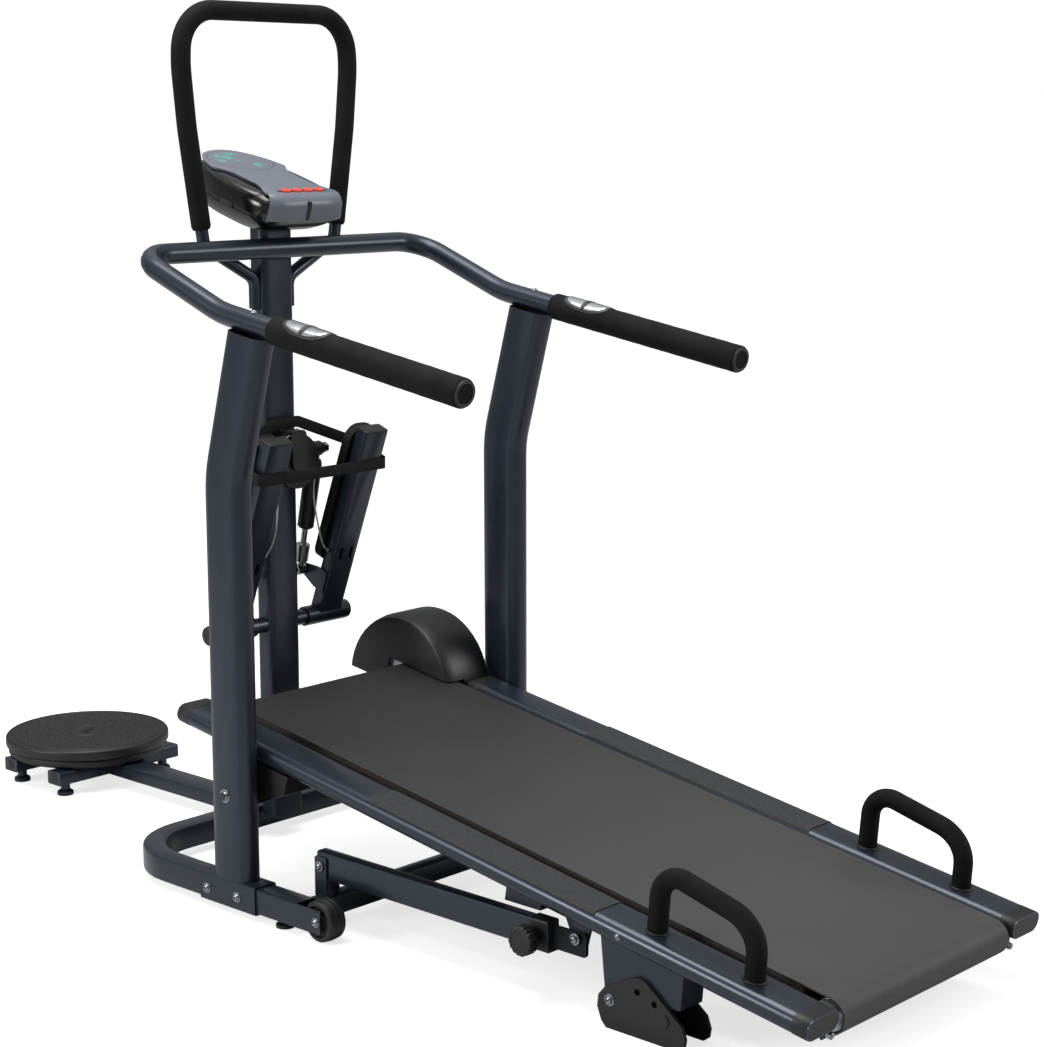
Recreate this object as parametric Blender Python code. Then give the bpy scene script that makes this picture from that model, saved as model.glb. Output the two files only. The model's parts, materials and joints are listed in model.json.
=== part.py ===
"""Inclined manual treadmill with a folding deck, a cable stepper, a twister plate and push-up handles.

The part stands on Z = 0.  +X is the user's right, +Y points from the deck's rear end to the twister plate,
+Z is up.  Everything is worked out around the feet of the two uprights, at Y = 0, and the finished objects
are then shifted along Y so that the origin lies under the middle of the whole machine.
"""
import math

import bmesh
import bpy
from mathutils import Matrix, Vector

# ---------------------------------------------------------------- driving dimensions, in metres and degrees
GAP = 0.0003                 # between solids that touch
RUNNING = 0.0003             # radial clearance of a running fit

BELT_WIDTH = 0.380
BELT_THICK = 0.003
BELT_HEIGHT = 0.255          # belt surface above the floor, between the uprights
DECK_SLOPE = 8.96            # degrees
FRONT_ROLLER_S = 0.113       # places along the belt, from the line between the uprights
REAR_ROLLER_S = -1.001
FRONT_ROLLER_R = 0.027
REAR_ROLLER_R = 0.022
ROLLER_SHAFT_R = 0.006
BOARD_THICK = 0.015

RAIL_GAP = 0.011             # belt edge to rail
RAIL_WIDTH = 0.066
RAIL_HEIGHT = 0.029
RAIL_CORNER = 0.0135
RAIL_DROP = -0.001           # rail top below the belt surface; negative is above it
RAIL_REAR_S = -1.024
LEFT_RAIL_FRONT_S = 0.160
RIGHT_RAIL_FRONT_S = 0.004
PAD_S = (-0.254, -0.680)     # anti-slip pads on the rails
PAD_THICK = 0.001
TUBE_WALL = 0.002

UPRIGHT_GAP = 0.003          # rail to upright
UPRIGHT_THICK = 0.040
UPRIGHT_DEPTH = 0.080
UPRIGHT_KINK_Z = 0.645
UPRIGHT_TOP_Z = 0.8555       # middle of the sloping top edge
UPRIGHT_LEAN = 15.5          # degrees, above the kink

SLEEVE_LENGTH = 0.123
BASE_TUBE_W = 0.036          # bow and foot tubes, and the sleeve that takes them
BASE_TUBE_H = 0.0375
BASE_TUBE_Z = 0.031
SLEEVE_WALL = 0.0024
BOW_BAR_Y = 0.2675
BOW_CORNER = 0.110
FOOT_TUBE_REAR_Y = -0.199
WHEEL_Y = -0.190
WHEEL_R = 0.031
WHEEL_WIDTH = 0.030
WHEEL_SLOT = 0.050           # slot length, from the tube's rear end
AXLE_R = 0.004
LEVEL_FOOT_Y = -0.105
LEVEL_FOOT_R = 0.014
CROSS_Y = -0.1425
CROSS_DEPTH = 0.026
CROSS_HEIGHT = 0.031
CROSS_BOTTOM = 0.014

PIVOT_Z = 0.179              # deck hinge, on the uprights' centre line
PIVOT_R = 0.006
PIVOT_HEAD = 0.0058          # its bolt end, proud of the upright

MAST_Y = 0.230
MAST_WIDTH = 0.064
MAST_DEPTH = 0.038
MAST_CORNER = 0.012
MAST_BOTTOM = 0.039
MAST_TOP = 1.014

RAIL_TUBE_R = 0.016          # handrail tube
GRIP_R = 0.0205
GRIP_END_Y = -0.475
GRIP_LENGTH = 0.372
GRIP_SLOPE = 9.3
HANDRAIL_BAR_Z = 0.956
HANDRAIL_BEND_Y = 0.005
HANDRAIL_CORNER = 0.055

LOOP_TUBE_R = 0.010
LOOP_FOAM_R = 0.015
LOOP_TOP_Z = 1.315
LOOP_TOP_HALF = 0.170
LOOP_FOAM_END_Z = 0.988
LOOP_FOAM_END_HALF = 0.138
LOOP_WELD_X = 0.034          # loop tube, let into the mast's sides

CONSOLE_LENGTH = 0.233
CONSOLE_WIDTH = 0.170
CONSOLE_TILT = 17.5
CONSOLE_Y = 0.241
CONSOLE_Z = 1.0702            # middle of the top surface
CONSOLE_TOP_THICK = 0.040
CONSOLE_BASE_THICK = 0.030
BUTTON_ALONG = -0.090        # from the console's middle, towards the user
BUTTON_SPACING = 0.022

SHAFT_Z = 0.355              # stepper shaft through the mast
SHAFT_R = 0.0125
SHAFT_HALF = 0.144
SLEEVE_R = 0.016
PEDAL_X = 0.100
PEDAL_SLEEVE = 0.088
PEDAL_LEAN = 21.0
ARM_WIDTH = 0.048
ARM_DEPTH = 0.025
ARM_LENGTH = 0.335
PLATE_WIDTH = 0.062
PLATE_THICK = 0.020
PLATE_LENGTH = 0.240
SHOCK_X = 0.063
SHOCK_BAR_Z = 0.633
SHOCK_PIVOT_U = 0.064        # lower pivot, along the pedal arm from the shaft
SHOCK_PIVOT_BACK = 0.0427    # and behind the arm's centre line
SHOCK_R = 0.0135
SHOCK_ROD_R = 0.005
SHOCK_BORE_R = 0.0082        # leaves the rod room to lean as the pedal swings
PULLEY_Z = 0.622
PULLEY_R = 0.040
PULLEY_THICK = 0.014
CABLE_R = 0.0015
STRAP_Z = 0.611
STRAP_HEIGHT = 0.018
STRAP_THICK = 0.0025

ARM_BAR_WIDTH = 0.050        # twister arm
ARM_BAR_BOTTOM = 0.021
ARM_BAR_HEIGHT = 0.024
TWISTER_Y = 0.7535
TWISTER_R = 0.143
TWISTER_TOP = 0.080
TWISTER_BAR_HALF = 0.129
TWISTER_BAR_DEPTH = 0.036
TWISTER_BARS_Y = (0.678, 0.805)
TWISTER_FOOT_X = 0.106
TWISTER_FOOT_R = 0.014

COVER_S_Y = 0.127            # flywheel cover, centre
COVER_Z = 0.235
COVER_R = 0.119
COVER_X = (0.166, 0.264)
COVER_WALL = 0.003
COVER_SKIRT = 0.040          # its lower edge, below the belt surface
FLYWHEEL_R = 0.098
FLYWHEEL_X = (0.208, 0.252)

PUSH_S = (-0.762, -0.918)    # push-up handle feet
PUSH_R = 0.0135
PUSH_HEIGHT = 0.087
LEG_S = (-0.690, -0.828)     # rear leg plates, along the deck
LEG_WIDTH = 0.044
LEG_PIVOT = (-0.697, 0.036)  # cam pivot, Y and Z
CAM_THICK = 0.005
CAM_LENGTH = 0.106

STRUT_OUT = 0.0095           # the strut's middle, outside the middle of the rail
STRUT_WIDTH = 0.020
STRUT_HEIGHT = 0.041
STRUT_PIVOT = (-0.145, 0.092)
STRUT_LENGTH = 0.438
STRUT_BAR_THICK = 0.005
STRUT_BAR_HEIGHT = 0.032
STRUT_BAR_FRONT = 0.222
STRUT_BAR_END = (-0.628, 0.100)
STRUT_BAR_LIP = 0.016
KNOB_S = 0.414
KNOB_R = 0.0205
KNOB_DEPTH = 0.030           # knob, from the strut's face

# ---------------------------------------------------------------- places that follow
SLOPE = math.radians(DECK_SLOPE)
RAIL_X = BELT_WIDTH / 2 + RAIL_GAP + RAIL_WIDTH / 2
RAIL_OUTER = RAIL_X + RAIL_WIDTH / 2
STRUT_X = -(RAIL_X + STRUT_OUT)
UPRIGHT_X = RAIL_OUTER + UPRIGHT_GAP + UPRIGHT_THICK / 2
RAIL_BOTTOM_H = -(RAIL_DROP + RAIL_HEIGHT)
REACH_FRONT = TWISTER_Y + TWISTER_R
REACH_REAR = -RAIL_REAR_S * math.cos(SLOPE) - RAIL_DROP * math.sin(SLOPE)
FOOT_Y = (REACH_REAR - REACH_FRONT) / 2
CROSS_TOP = CROSS_BOTTOM + CROSS_HEIGHT


def deck(s, h, x=0.0):
    """Point at length s along the belt and height h square to its surface."""
    return Vector((x, s * math.cos(SLOPE) - h * math.sin(SLOPE),
                   BELT_HEIGHT + s * math.sin(SLOPE) + h * math.cos(SLOPE)))


def pedal(u, v, x=0.0):
    """Point at length u up a pedal arm from the shaft and v from its centre line towards the user."""
    lean = math.radians(PEDAL_LEAN)
    return Vector((x, MAST_Y - u * math.sin(lean) - v * math.cos(lean),
                   SHAFT_Z + u * math.cos(lean) - v * math.sin(lean)))


# ---------------------------------------------------------------- materials
def paint(name, red, green, blue, roughness, metallic=0.0):
    material = bpy.data.materials.new(name)
    material.use_nodes = True
    shader = material.node_tree.nodes["Principled BSDF"]
    shader.inputs["Base Color"].default_value = (red, green, blue, 1.0)
    shader.inputs["Roughness"].default_value = roughness
    shader.inputs["Metallic"].default_value = metallic
    material.diffuse_color = (red, green, blue, 1.0)
    return material


# ---------------------------------------------------------------- outlines, as lists of 2D points
def rounded(width, height, radius, steps=4):
    """Rectangle with round corners, anticlockwise."""
    points = []
    for turn, (sx, sy) in enumerate(((1, 1), (-1, 1), (-1, -1), (1, -1))):
        cx, cy = sx * (width / 2 - radius), sy * (height / 2 - radius)
        for step in range(steps + 1):
            angle = math.pi / 2 * (turn + step / steps)
            points.append((cx + radius * math.cos(angle), cy + radius * math.sin(angle)))
    return points


def flat_oval(width, height, steps=8):
    """Two half circles joined by straight sides, anticlockwise; the long side lies along the first axis."""
    radius = height / 2
    points = []
    for side in (1, -1):
        cx = side * (width / 2 - radius)
        for step in range(steps + 1):
            angle = math.pi * (step / steps) - math.pi / 2 + (0 if side > 0 else math.pi)
            points.append((cx + radius * math.cos(angle), radius * math.sin(angle)))
    return points


def circle(radius, steps=16):
    return [(radius * math.cos(2 * math.pi * i / steps), radius * math.sin(2 * math.pi * i / steps))
            for i in range(steps)]


# ---------------------------------------------------------------- paths
def bend(points, radii, degrees=14):
    """Polyline with its inner corners rounded, each with its own radius, in steps of so many degrees."""
    points = [Vector(p) for p in points]
    path = [points[0]]
    for before, corner, after, radius in zip(points, points[1:], points[2:], radii):
        a, b = (before - corner).normalized(), (after - corner).normalized()
        half = a.angle(b) / 2
        reach = radius / math.tan(half)
        centre = corner + (a + b).normalized() * (radius / math.sin(half))
        start, end = corner + a * reach - centre, corner + b * reach - centre
        turn = start.angle(end)
        steps = max(2, round(math.degrees(turn) / degrees))
        for step in range(steps + 1):
            t = step / steps
            path.append(centre + (start * math.sin((1 - t) * turn)
                                  + end * math.sin(t * turn)) / math.sin(turn))
    path.append(points[-1])
    return path


# ---------------------------------------------------------------- solids
def add(name, vertices, faces, material):
    mesh = bpy.data.meshes.new(name)
    mesh.from_pydata([tuple(v) for v in vertices], [], faces)
    mesh.materials.append(material)
    obj = bpy.data.objects.new(name, mesh)
    bpy.context.collection.objects.link(obj)
    shape = bmesh.new()
    shape.from_mesh(mesh)
    bmesh.ops.recalc_face_normals(shape, faces=shape.faces)
    shape.to_mesh(mesh)
    shape.free()
    mesh.shade_smooth()
    mesh.set_sharp_from_angle(angle=math.radians(35))
    return obj


def sweep(name, path, outline, material, inner=None, up=(0, 0, 1), closed=False):
    """Carry an outline along a path; its second axis keeps towards up.  With inner, the result is a tube."""
    path = [Vector(p) for p in path]
    count, size = len(path), len(outline)
    rings = []
    second = Vector(up)
    for i in range(count):
        if closed:
            ahead, behind = path[(i + 1) % count] - path[i], path[i] - path[i - 1]
        else:
            ahead = path[min(i + 1, count - 1)] - path[min(i, count - 2)]
            behind = path[max(i, 1)] - path[max(i - 1, 0)]
        tangent = (ahead.normalized() + behind.normalized()).normalized()
        stretch = 1 / max(0.5, tangent.dot(ahead.normalized()))
        first = second.cross(tangent).normalized()
        second = tangent.cross(first).normalized()
        turn_axis = behind.cross(ahead)
        widen_first = abs(turn_axis.dot(second)) > abs(turn_axis.dot(first))
        a = first * (stretch if widen_first else 1)
        b = second * (1 if widen_first else stretch)
        loops = [[path[i] + a * p + b * q for p, q in line] for line in ([outline, inner]
                                                                         if inner else [outline])]
        rings.append(loops)
    vertices, faces = [], []
    depth = 2 if inner else 1
    for loops in rings:
        for loop in loops:
            vertices.extend(loop)
    stride = size * depth

    def at(ring, layer, k):
        return (ring % count) * stride + layer * size + k % size

    for ring in range(count if closed else count - 1):
        for k in range(size):
            for layer in range(depth):
                quad = (at(ring, layer, k), at(ring, layer, k + 1), at(ring + 1, layer, k + 1),
                        at(ring + 1, layer, k))
                faces.append(quad if layer == 0 else quad[::-1])
    if not closed:
        for ring in (0, count - 1):
            if inner:
                faces += [(at(ring, 0, k), at(ring, 0, k + 1), at(ring, 1, k + 1), at(ring, 1, k))
                          for k in range(size)]
            else:
                faces.append([at(ring, 0, k) for k in range(size)])
    return add(name, vertices, faces, material)


def turned(name, profile, centre, axis, material, steps=24, bored=False):
    """Turn a profile of (radius, length) points round an axis; a bored one is a ring, else it is solid."""
    axis = Vector(axis).normalized()
    first = axis.orthogonal().normalized()
    second = axis.cross(first)
    centre = Vector(centre)
    vertices, rows = [], []
    for radius, length in profile:
        if radius < 1e-9:
            rows.append([len(vertices)] * steps)
            vertices.append(centre + axis * length)
        else:
            rows.append([len(vertices) + i for i in range(steps)])
            for i in range(steps):
                angle = 2 * math.pi * i / steps
                ray = first * math.cos(angle) + second * math.sin(angle)
                vertices.append(centre + axis * length + ray * radius)
    faces = []
    pairs = list(zip(rows, rows[1:])) + ([(rows[-1], rows[0])] if bored else [])
    for low, high in pairs:
        for i in range(steps):
            j = (i + 1) % steps
            corners = []
            for vertex in (low[i], low[j], high[j], high[i]):
                if vertex not in corners:
                    corners.append(vertex)
            if len(corners) > 2:
                faces.append(corners)
    return add(name, vertices, faces, material)


def disc(name, radius, centre, axis, length, material, steps=24, bore=None, chamfer=0.0):
    """Cylinder, or ring if it has a bore, centred on a point, with small chamfers on its rim."""
    half = length / 2
    rim = [(radius - chamfer, -half), (radius, -half + chamfer), (radius, half - chamfer),
           (radius - chamfer, half)]
    if not chamfer:
        rim = [(radius, -half), (radius, half)]
    if bore:
        profile = [(bore, -half)] + rim + [(bore, half)]
        return turned(name, profile, centre, axis, material, steps, bored=True)
    return turned(name, [(0, -half)] + rim + [(0, half)], centre, axis, material, steps)


def plate(name, outline, origin, first, second, thickness, material):
    """Flat plate: a 2D outline on two directions, centred through its thickness on the origin."""
    first, second = Vector(first).normalized(), Vector(second).normalized()
    normal = first.cross(second)
    base = [Vector(origin) + first * p + second * q for p, q in outline]
    vertices = [v - normal * thickness / 2 for v in base] + [v + normal * thickness / 2 for v in base]
    size = len(outline)
    faces = [list(range(size))[::-1], list(range(size, 2 * size))]
    faces += [(k, (k + 1) % size, (k + 1) % size + size, k + size) for k in range(size)]
    return add(name, vertices, faces, material)


def block(name, low, high, material, corner=0.0):
    """Box between two corners, its edges along Z rounded by corner."""
    low, high = Vector(low), Vector(high)
    middle, span = (low + high) / 2, high - low
    outline = rounded(span.x, span.y, corner, 3) if corner else [
        (span.x / 2, span.y / 2), (-span.x / 2, span.y / 2), (-span.x / 2, -span.y / 2),
        (span.x / 2, -span.y / 2)]
    return plate(name, outline, middle, (1, 0, 0), (0, 1, 0), span.z, material)


def combine(target, other, operation="UNION"):
    """Boolean of two solids, applied, with the second one used up."""
    modifier = target.modifiers.new("combine", "BOOLEAN")
    modifier.operation = operation
    modifier.solver = "EXACT"
    modifier.object = other
    graph = bpy.context.evaluated_depsgraph_get()
    mesh = bpy.data.meshes.new_from_object(target.evaluated_get(graph))
    target.modifiers.clear()
    target.data = mesh
    bpy.data.objects.remove(other)
    mesh.shade_smooth()
    mesh.set_sharp_from_angle(angle=math.radians(35))
    return target


def cut(target, other):
    return combine(target, other, "DIFFERENCE")


def hang(obj, point):
    """Put an object's origin on its joint's axis."""
    point = Vector(point)
    obj.data.transform(Matrix.Translation(-point))
    obj.location = point
    return obj


# ---------------------------------------------------------------- base and uprights
def build_base(steel, black):
    bar_w, bar_h, middle_z = BASE_TUBE_W, BASE_TUBE_H, BASE_TUBE_Z
    outer = rounded(bar_w, bar_h, 0.003, 2)
    inner = rounded(bar_w - 2 * TUBE_WALL, bar_h - 2 * TUBE_WALL, 0.0015, 2)
    path = bend([(-UPRIGHT_X, 0.004, middle_z), (-UPRIGHT_X, BOW_BAR_Y, middle_z),
                 (UPRIGHT_X, BOW_BAR_Y, middle_z), (UPRIGHT_X, 0.004, middle_z)], [BOW_CORNER] * 2, 9)
    sweep("base_bow", path, outer, steel, inner)

    for side, sx in (("left", -1), ("right", 1)):
        x = sx * UPRIGHT_X
        tube = sweep(f"{side}_foot_tube", [(x, -0.004, middle_z), (x, FOOT_TUBE_REAR_Y, middle_z)],
                     outer, steel, inner)
        inside = bar_w / 2 - TUBE_WALL
        cut(tube, block("slot", (x - inside, FOOT_TUBE_REAR_Y - 0.01, 0),
                        (x + inside, FOOT_TUBE_REAR_Y + WHEEL_SLOT, 0.09), black))
        combine(tube, disc("axle", AXLE_R, (x, WHEEL_Y, middle_z), (1, 0, 0), bar_w - 0.001, steel, 16))
        wheel_profile = [(AXLE_R + RUNNING, -WHEEL_WIDTH / 2), (WHEEL_R - 0.004, -WHEEL_WIDTH / 2),
                         (WHEEL_R - 0.001, -WHEEL_WIDTH / 2 + 0.003), (WHEEL_R, 0),
                         (WHEEL_R - 0.001, WHEEL_WIDTH / 2 - 0.003), (WHEEL_R - 0.004, WHEEL_WIDTH / 2),
                         (AXLE_R + RUNNING, WHEEL_WIDTH / 2)]
        hang(turned(f"{side}_wheel", wheel_profile, (x, WHEEL_Y, middle_z), (1, 0, 0), black, 28, bored=True),
             (x, WHEEL_Y, middle_z))
        stem = [(0, 0), (LEVEL_FOOT_R, 0), (LEVEL_FOOT_R, 0.005), (0.005, 0.008),
                (0.005, middle_z - bar_h / 2 - GAP), (0, middle_z - bar_h / 2 - GAP)]
        turned(f"{side}_levelling_foot", stem, (x, LEVEL_FOOT_Y, 0), (0, 0, 1), black, 20)

    inner_face = UPRIGHT_X - bar_w / 2 - GAP
    section = rounded(CROSS_DEPTH, CROSS_HEIGHT, 0.003, 2)
    hollow = rounded(CROSS_DEPTH - 2 * TUBE_WALL, CROSS_HEIGHT - 2 * TUBE_WALL, 0.0015, 2)
    z = CROSS_BOTTOM + CROSS_HEIGHT / 2
    cross = sweep("base_cross_tube", [(-inner_face, CROSS_Y, z), (inner_face, CROSS_Y, z)], section, steel,
                  hollow)
    for offset in (-1, 1):
        x = STRUT_X + offset * (STRUT_WIDTH / 2 + GAP + 0.0015)
        lug_top = STRUT_PIVOT[1] + 0.014
        lug = plate("lug", rounded(0.024, lug_top - CROSS_TOP + 0.001, 0.004, 2),
                    (x, STRUT_PIVOT[0], (lug_top + CROSS_TOP - 0.001) / 2), (0, 1, 0), (0, 0, 1), 0.003,
                    steel)
        combine(cross, lug)
    combine(cross, disc("strut_pin", AXLE_R, (STRUT_X, *STRUT_PIVOT), (1, 0, 0), STRUT_WIDTH + 0.006, steel,
                        16))


def build_uprights(steel):
    room_w, room_h = BASE_TUBE_W + 2 * GAP, BASE_TUBE_H + 2 * GAP
    foot = BASE_TUBE_Z + room_h / 2 + SLEEVE_WALL
    lean = math.radians(UPRIGHT_LEAN)
    top_y = -(UPRIGHT_TOP_Z - UPRIGHT_KINK_Z) * math.tan(lean)
    over = UPRIGHT_DEPTH / 2 * math.tan(math.radians(GRIP_SLOPE)) + 0.012
    for side, sx in (("left", -1), ("right", 1)):
        x = sx * UPRIGHT_X
        path = bend([(x, 0, foot - 0.001), (x, 0, UPRIGHT_KINK_Z),
                     (x, top_y - over * math.tan(lean), UPRIGHT_TOP_Z + over)], [0.18], 4)
        outer = flat_oval(UPRIGHT_DEPTH, UPRIGHT_THICK, 7)
        inner = flat_oval(UPRIGHT_DEPTH - 2 * TUBE_WALL, UPRIGHT_THICK - 2 * TUBE_WALL, 7)
        upright = sweep(f"{side}_upright", path, outer, steel, inner, up=(1, 0, 0))
        # the welded sleeve that takes the bow and the foot tube
        sleeve = sweep("sleeve", [(x, -SLEEVE_LENGTH / 2, BASE_TUBE_Z), (x, SLEEVE_LENGTH / 2, BASE_TUBE_Z)],
                       rounded(room_w + 2 * SLEEVE_WALL, room_h + 2 * SLEEVE_WALL, 0.003, 2), steel,
                       rounded(room_w, room_h, 0.002, 2))
        combine(upright, sleeve)
        # cut along the grip's slope for the handrail, which sits on the top
        rise = 0.12 * math.tan(math.radians(GRIP_SLOPE))
        above = [(top_y + 0.12, UPRIGHT_TOP_Z + rise), (top_y + 0.12, UPRIGHT_TOP_Z + 0.2),
                 (top_y - 0.12, UPRIGHT_TOP_Z + 0.2), (top_y - 0.12, UPRIGHT_TOP_Z - rise)]
        cut(upright, plate("above", above, (x, 0, 0), (0, 1, 0), (0, 0, 1), 0.1, steel))
        pin_length = UPRIGHT_X + UPRIGHT_THICK / 2 + PIVOT_HEAD - (RAIL_X - 0.012)
        pin_x = sx * (RAIL_X - 0.012 + pin_length / 2)
        combine(upright, disc("pin", PIVOT_R, (pin_x, 0, PIVOT_Z), (1, 0, 0), pin_length, steel, 20))


# ---------------------------------------------------------------- mast, handrail, loop handle
def build_mast(steel):
    outer = rounded(MAST_WIDTH, MAST_DEPTH, MAST_CORNER, 4)
    inner = rounded(MAST_WIDTH - 2 * TUBE_WALL, MAST_DEPTH - 2 * TUBE_WALL, MAST_CORNER - TUBE_WALL, 4)
    mast = sweep("mast", [(0, MAST_Y, MAST_BOTTOM), (0, MAST_Y, MAST_TOP)], outer, steel, inner,
                 up=(0, -1, 0))
    cut(mast, disc("shaft_hole", SHAFT_R + GAP, (0, MAST_Y, SHAFT_Z), (1, 0, 0), MAST_WIDTH * 1.5, steel, 20))
    disc("stepper_shaft", SHAFT_R, (0, MAST_Y, SHAFT_Z), (1, 0, 0), 2 * SHAFT_HALF, steel, 20, chamfer=0.001)


def handrail_points(sx):
    """Centre points of one side of the handrail, from the grip's end to the front corner."""
    slope = math.tan(math.radians(GRIP_SLOPE))
    saddle_z = UPRIGHT_TOP_Z + (GAP + RAIL_TUBE_R) / math.cos(math.radians(GRIP_SLOPE))
    saddle_y = -(UPRIGHT_TOP_Z - UPRIGHT_KINK_Z) * math.tan(math.radians(UPRIGHT_LEAN))
    x = sx * UPRIGHT_X
    front_y = MAST_Y - MAST_DEPTH / 2 - RAIL_TUBE_R - GAP
    end_z = saddle_z + slope * (GRIP_END_Y - saddle_y)
    bend_z = saddle_z + slope * (HANDRAIL_BEND_Y - saddle_y)
    return [Vector((x, GRIP_END_Y, end_z)), Vector((x, HANDRAIL_BEND_Y, bend_z)),
            Vector((x, front_y, HANDRAIL_BAR_Z))]


def build_handrail(steel, foam, black, chrome):
    left, right = handrail_points(-1), handrail_points(1)
    path = bend(left + right[::-1], [0.16, HANDRAIL_CORNER, HANDRAIL_CORNER, 0.16], 10)
    sweep("handrail_tube", path, circle(RAIL_TUBE_R, 14), steel, circle(RAIL_TUBE_R - TUBE_WALL, 14),
          up=(0, 0, 1))
    for side, points in (("left", left), ("right", right)):
        along = (points[1] - points[0]).normalized()
        start = points[0] + along * 0.001
        end = points[0] + along * GRIP_LENGTH
        grip = sweep(f"{side}_grip_foam", [start, end], circle(GRIP_R, 20), foam,
                     circle(RAIL_TUBE_R + GAP, 20))
        normal = Vector((0, -along.z, along.y))
        # pulse sensor holder: a shallow saddle let into the foam near its front end
        seat = points[0] + along * (GRIP_LENGTH - 0.075)
        pocket = plate("pocket", rounded(0.076, 0.028, 0.013, 4), seat + normal * (RAIL_TUBE_R + 0.0065),
                       along, (1, 0, 0), 0.010, black)
        cut(grip, pocket)
        plate(f"{side}_pulse_sensor", rounded(0.075, 0.027, 0.0125, 4),
              seat + normal * (RAIL_TUBE_R + 0.0042),
              along, (1, 0, 0), 0.005, chrome)


def loop_points(sx):
    """Centre points of one side of the loop handle, from its weld on the mast to the top corner."""
    return [(sx * LOOP_WELD_X, MAST_Y, 0.862), (sx * LOOP_WELD_X, MAST_Y, 0.908),
            (sx * (LOOP_FOAM_END_HALF - 0.004), MAST_Y, 0.963),
            (sx * LOOP_FOAM_END_HALF, MAST_Y, LOOP_FOAM_END_Z), (sx * (LOOP_TOP_HALF - 0.009), MAST_Y, 1.140),
            (sx * LOOP_TOP_HALF, MAST_Y, 1.235), (sx * (LOOP_TOP_HALF - 0.006), MAST_Y, LOOP_TOP_Z)]


def build_loop(steel, foam):
    left, right = loop_points(-1), loop_points(1)
    radii = [0.022, 0.016, 0.10, 0.30, 0.20, 0.062]
    path = bend(left + right[::-1], radii + radii[::-1])
    sweep("loop_handle_tube", path, circle(LOOP_TUBE_R, 12), steel, circle(LOOP_TUBE_R - TUBE_WALL, 12),
          up=(0, 1, 0))
    for side in (left, right):
        ends = bend(side[:4], radii[:2])
        cut(bpy.data.objects["mast"], sweep("notch", [ends[0] - Vector((0, 0, 0.001))] + ends[1:],
                                            circle(LOOP_TUBE_R + GAP, 12), steel, up=(0, 1, 0)))
    covered = [p for p in path if p.z > LOOP_FOAM_END_Z - 0.004]
    sweep("loop_handle_foam", covered, circle(LOOP_FOAM_R, 14), foam, circle(LOOP_TUBE_R + GAP, 14),
          up=(0, 1, 0))


# ---------------------------------------------------------------- console
def console_outline(scale, shift=0.0):
    """Boat shape on the console's own plane: wide and square at the user's end, narrow at the far end."""
    points = []
    for i in range(28):
        angle = 2 * math.pi * i / 28
        c, s = math.cos(angle), math.sin(angle)
        power = 0.40 if s < 0 else 0.86
        along = math.copysign(abs(s) ** power, s) * CONSOLE_LENGTH / 2
        width = CONSOLE_WIDTH / 2 * (1 - 0.17 * max(0.0, s))
        across = math.copysign(abs(c) ** (0.40 if s < 0 else 0.62), c) * width
        points.append((across * scale, along * scale + shift))
    return points


def console_point(across, along, height):
    """Point on the tilted console: along runs towards the far end, height is square to the top."""
    tilt = math.radians(CONSOLE_TILT)
    return Vector((across, CONSOLE_Y + along * math.cos(tilt) - height * math.sin(tilt),
                   CONSOLE_Z + along * math.sin(tilt) + height * math.cos(tilt)))


def console_shell(name, layers, material):
    """Stack of console outlines; layers give (scale, shift, height) from top to bottom."""
    vertices, faces = [], []
    for scale, shift, height in layers:
        vertices += [console_point(p, q, height) for p, q in console_outline(scale, shift)]
    size = len(console_outline(1))
    for row in range(len(layers) - 1):
        for k in range(size):
            j = (k + 1) % size
            faces.append((row * size + k, row * size + j, (row + 1) * size + j, (row + 1) * size + k))
    faces.append(list(range(size)))
    faces.append(list(range((len(layers) - 1) * size, len(layers) * size)))
    return add(name, vertices, faces, material)


def build_console(grey, black, red):
    top = console_shell("console_top", [(0.92, 0, 0), (0.965, 0, -0.003), (0.99, 0, -0.009), (1, 0, -0.017),
                                        (0.985, 0, -CONSOLE_TOP_THICK)], grey)
    low = -CONSOLE_TOP_THICK - CONSOLE_BASE_THICK
    base = console_shell("console_base", [(0.985, 0, -CONSOLE_TOP_THICK - GAP),
                                          (0.955, 0.003, -CONSOLE_TOP_THICK - 0.010),
                                          (0.80, 0.014, low + 0.004), (0.72, 0.018, low)], black)
    mast_room = block("mast_room", (-MAST_WIDTH / 2 - GAP, MAST_Y - MAST_DEPTH / 2 - GAP, MAST_BOTTOM),
                      (MAST_WIDTH / 2 + GAP, MAST_Y + MAST_DEPTH / 2 + GAP, MAST_TOP + GAP), black)
    cut(base, mast_room)
    for number in range(4):
        across = (number - 1.5) * BUTTON_SPACING
        well = console_point(across, BUTTON_ALONG, -0.002)
        normal = console_point(0, 0, 1) - console_point(0, 0, 0)
        long_way = Vector((1, 0, 0))
        other = normal.cross(long_way)
        cut(top, plate("well", rounded(0.0166, 0.0126, 0.0046, 4), well, long_way, other, 0.012, black))
        button = plate(f"console_button_{number + 1}", rounded(0.016, 0.012, 0.0044, 4),
                       console_point(across, BUTTON_ALONG, -0.0005), long_way, other, 0.0086, red)
        hang(button, console_point(across, BUTTON_ALONG, -0.0005))


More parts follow.
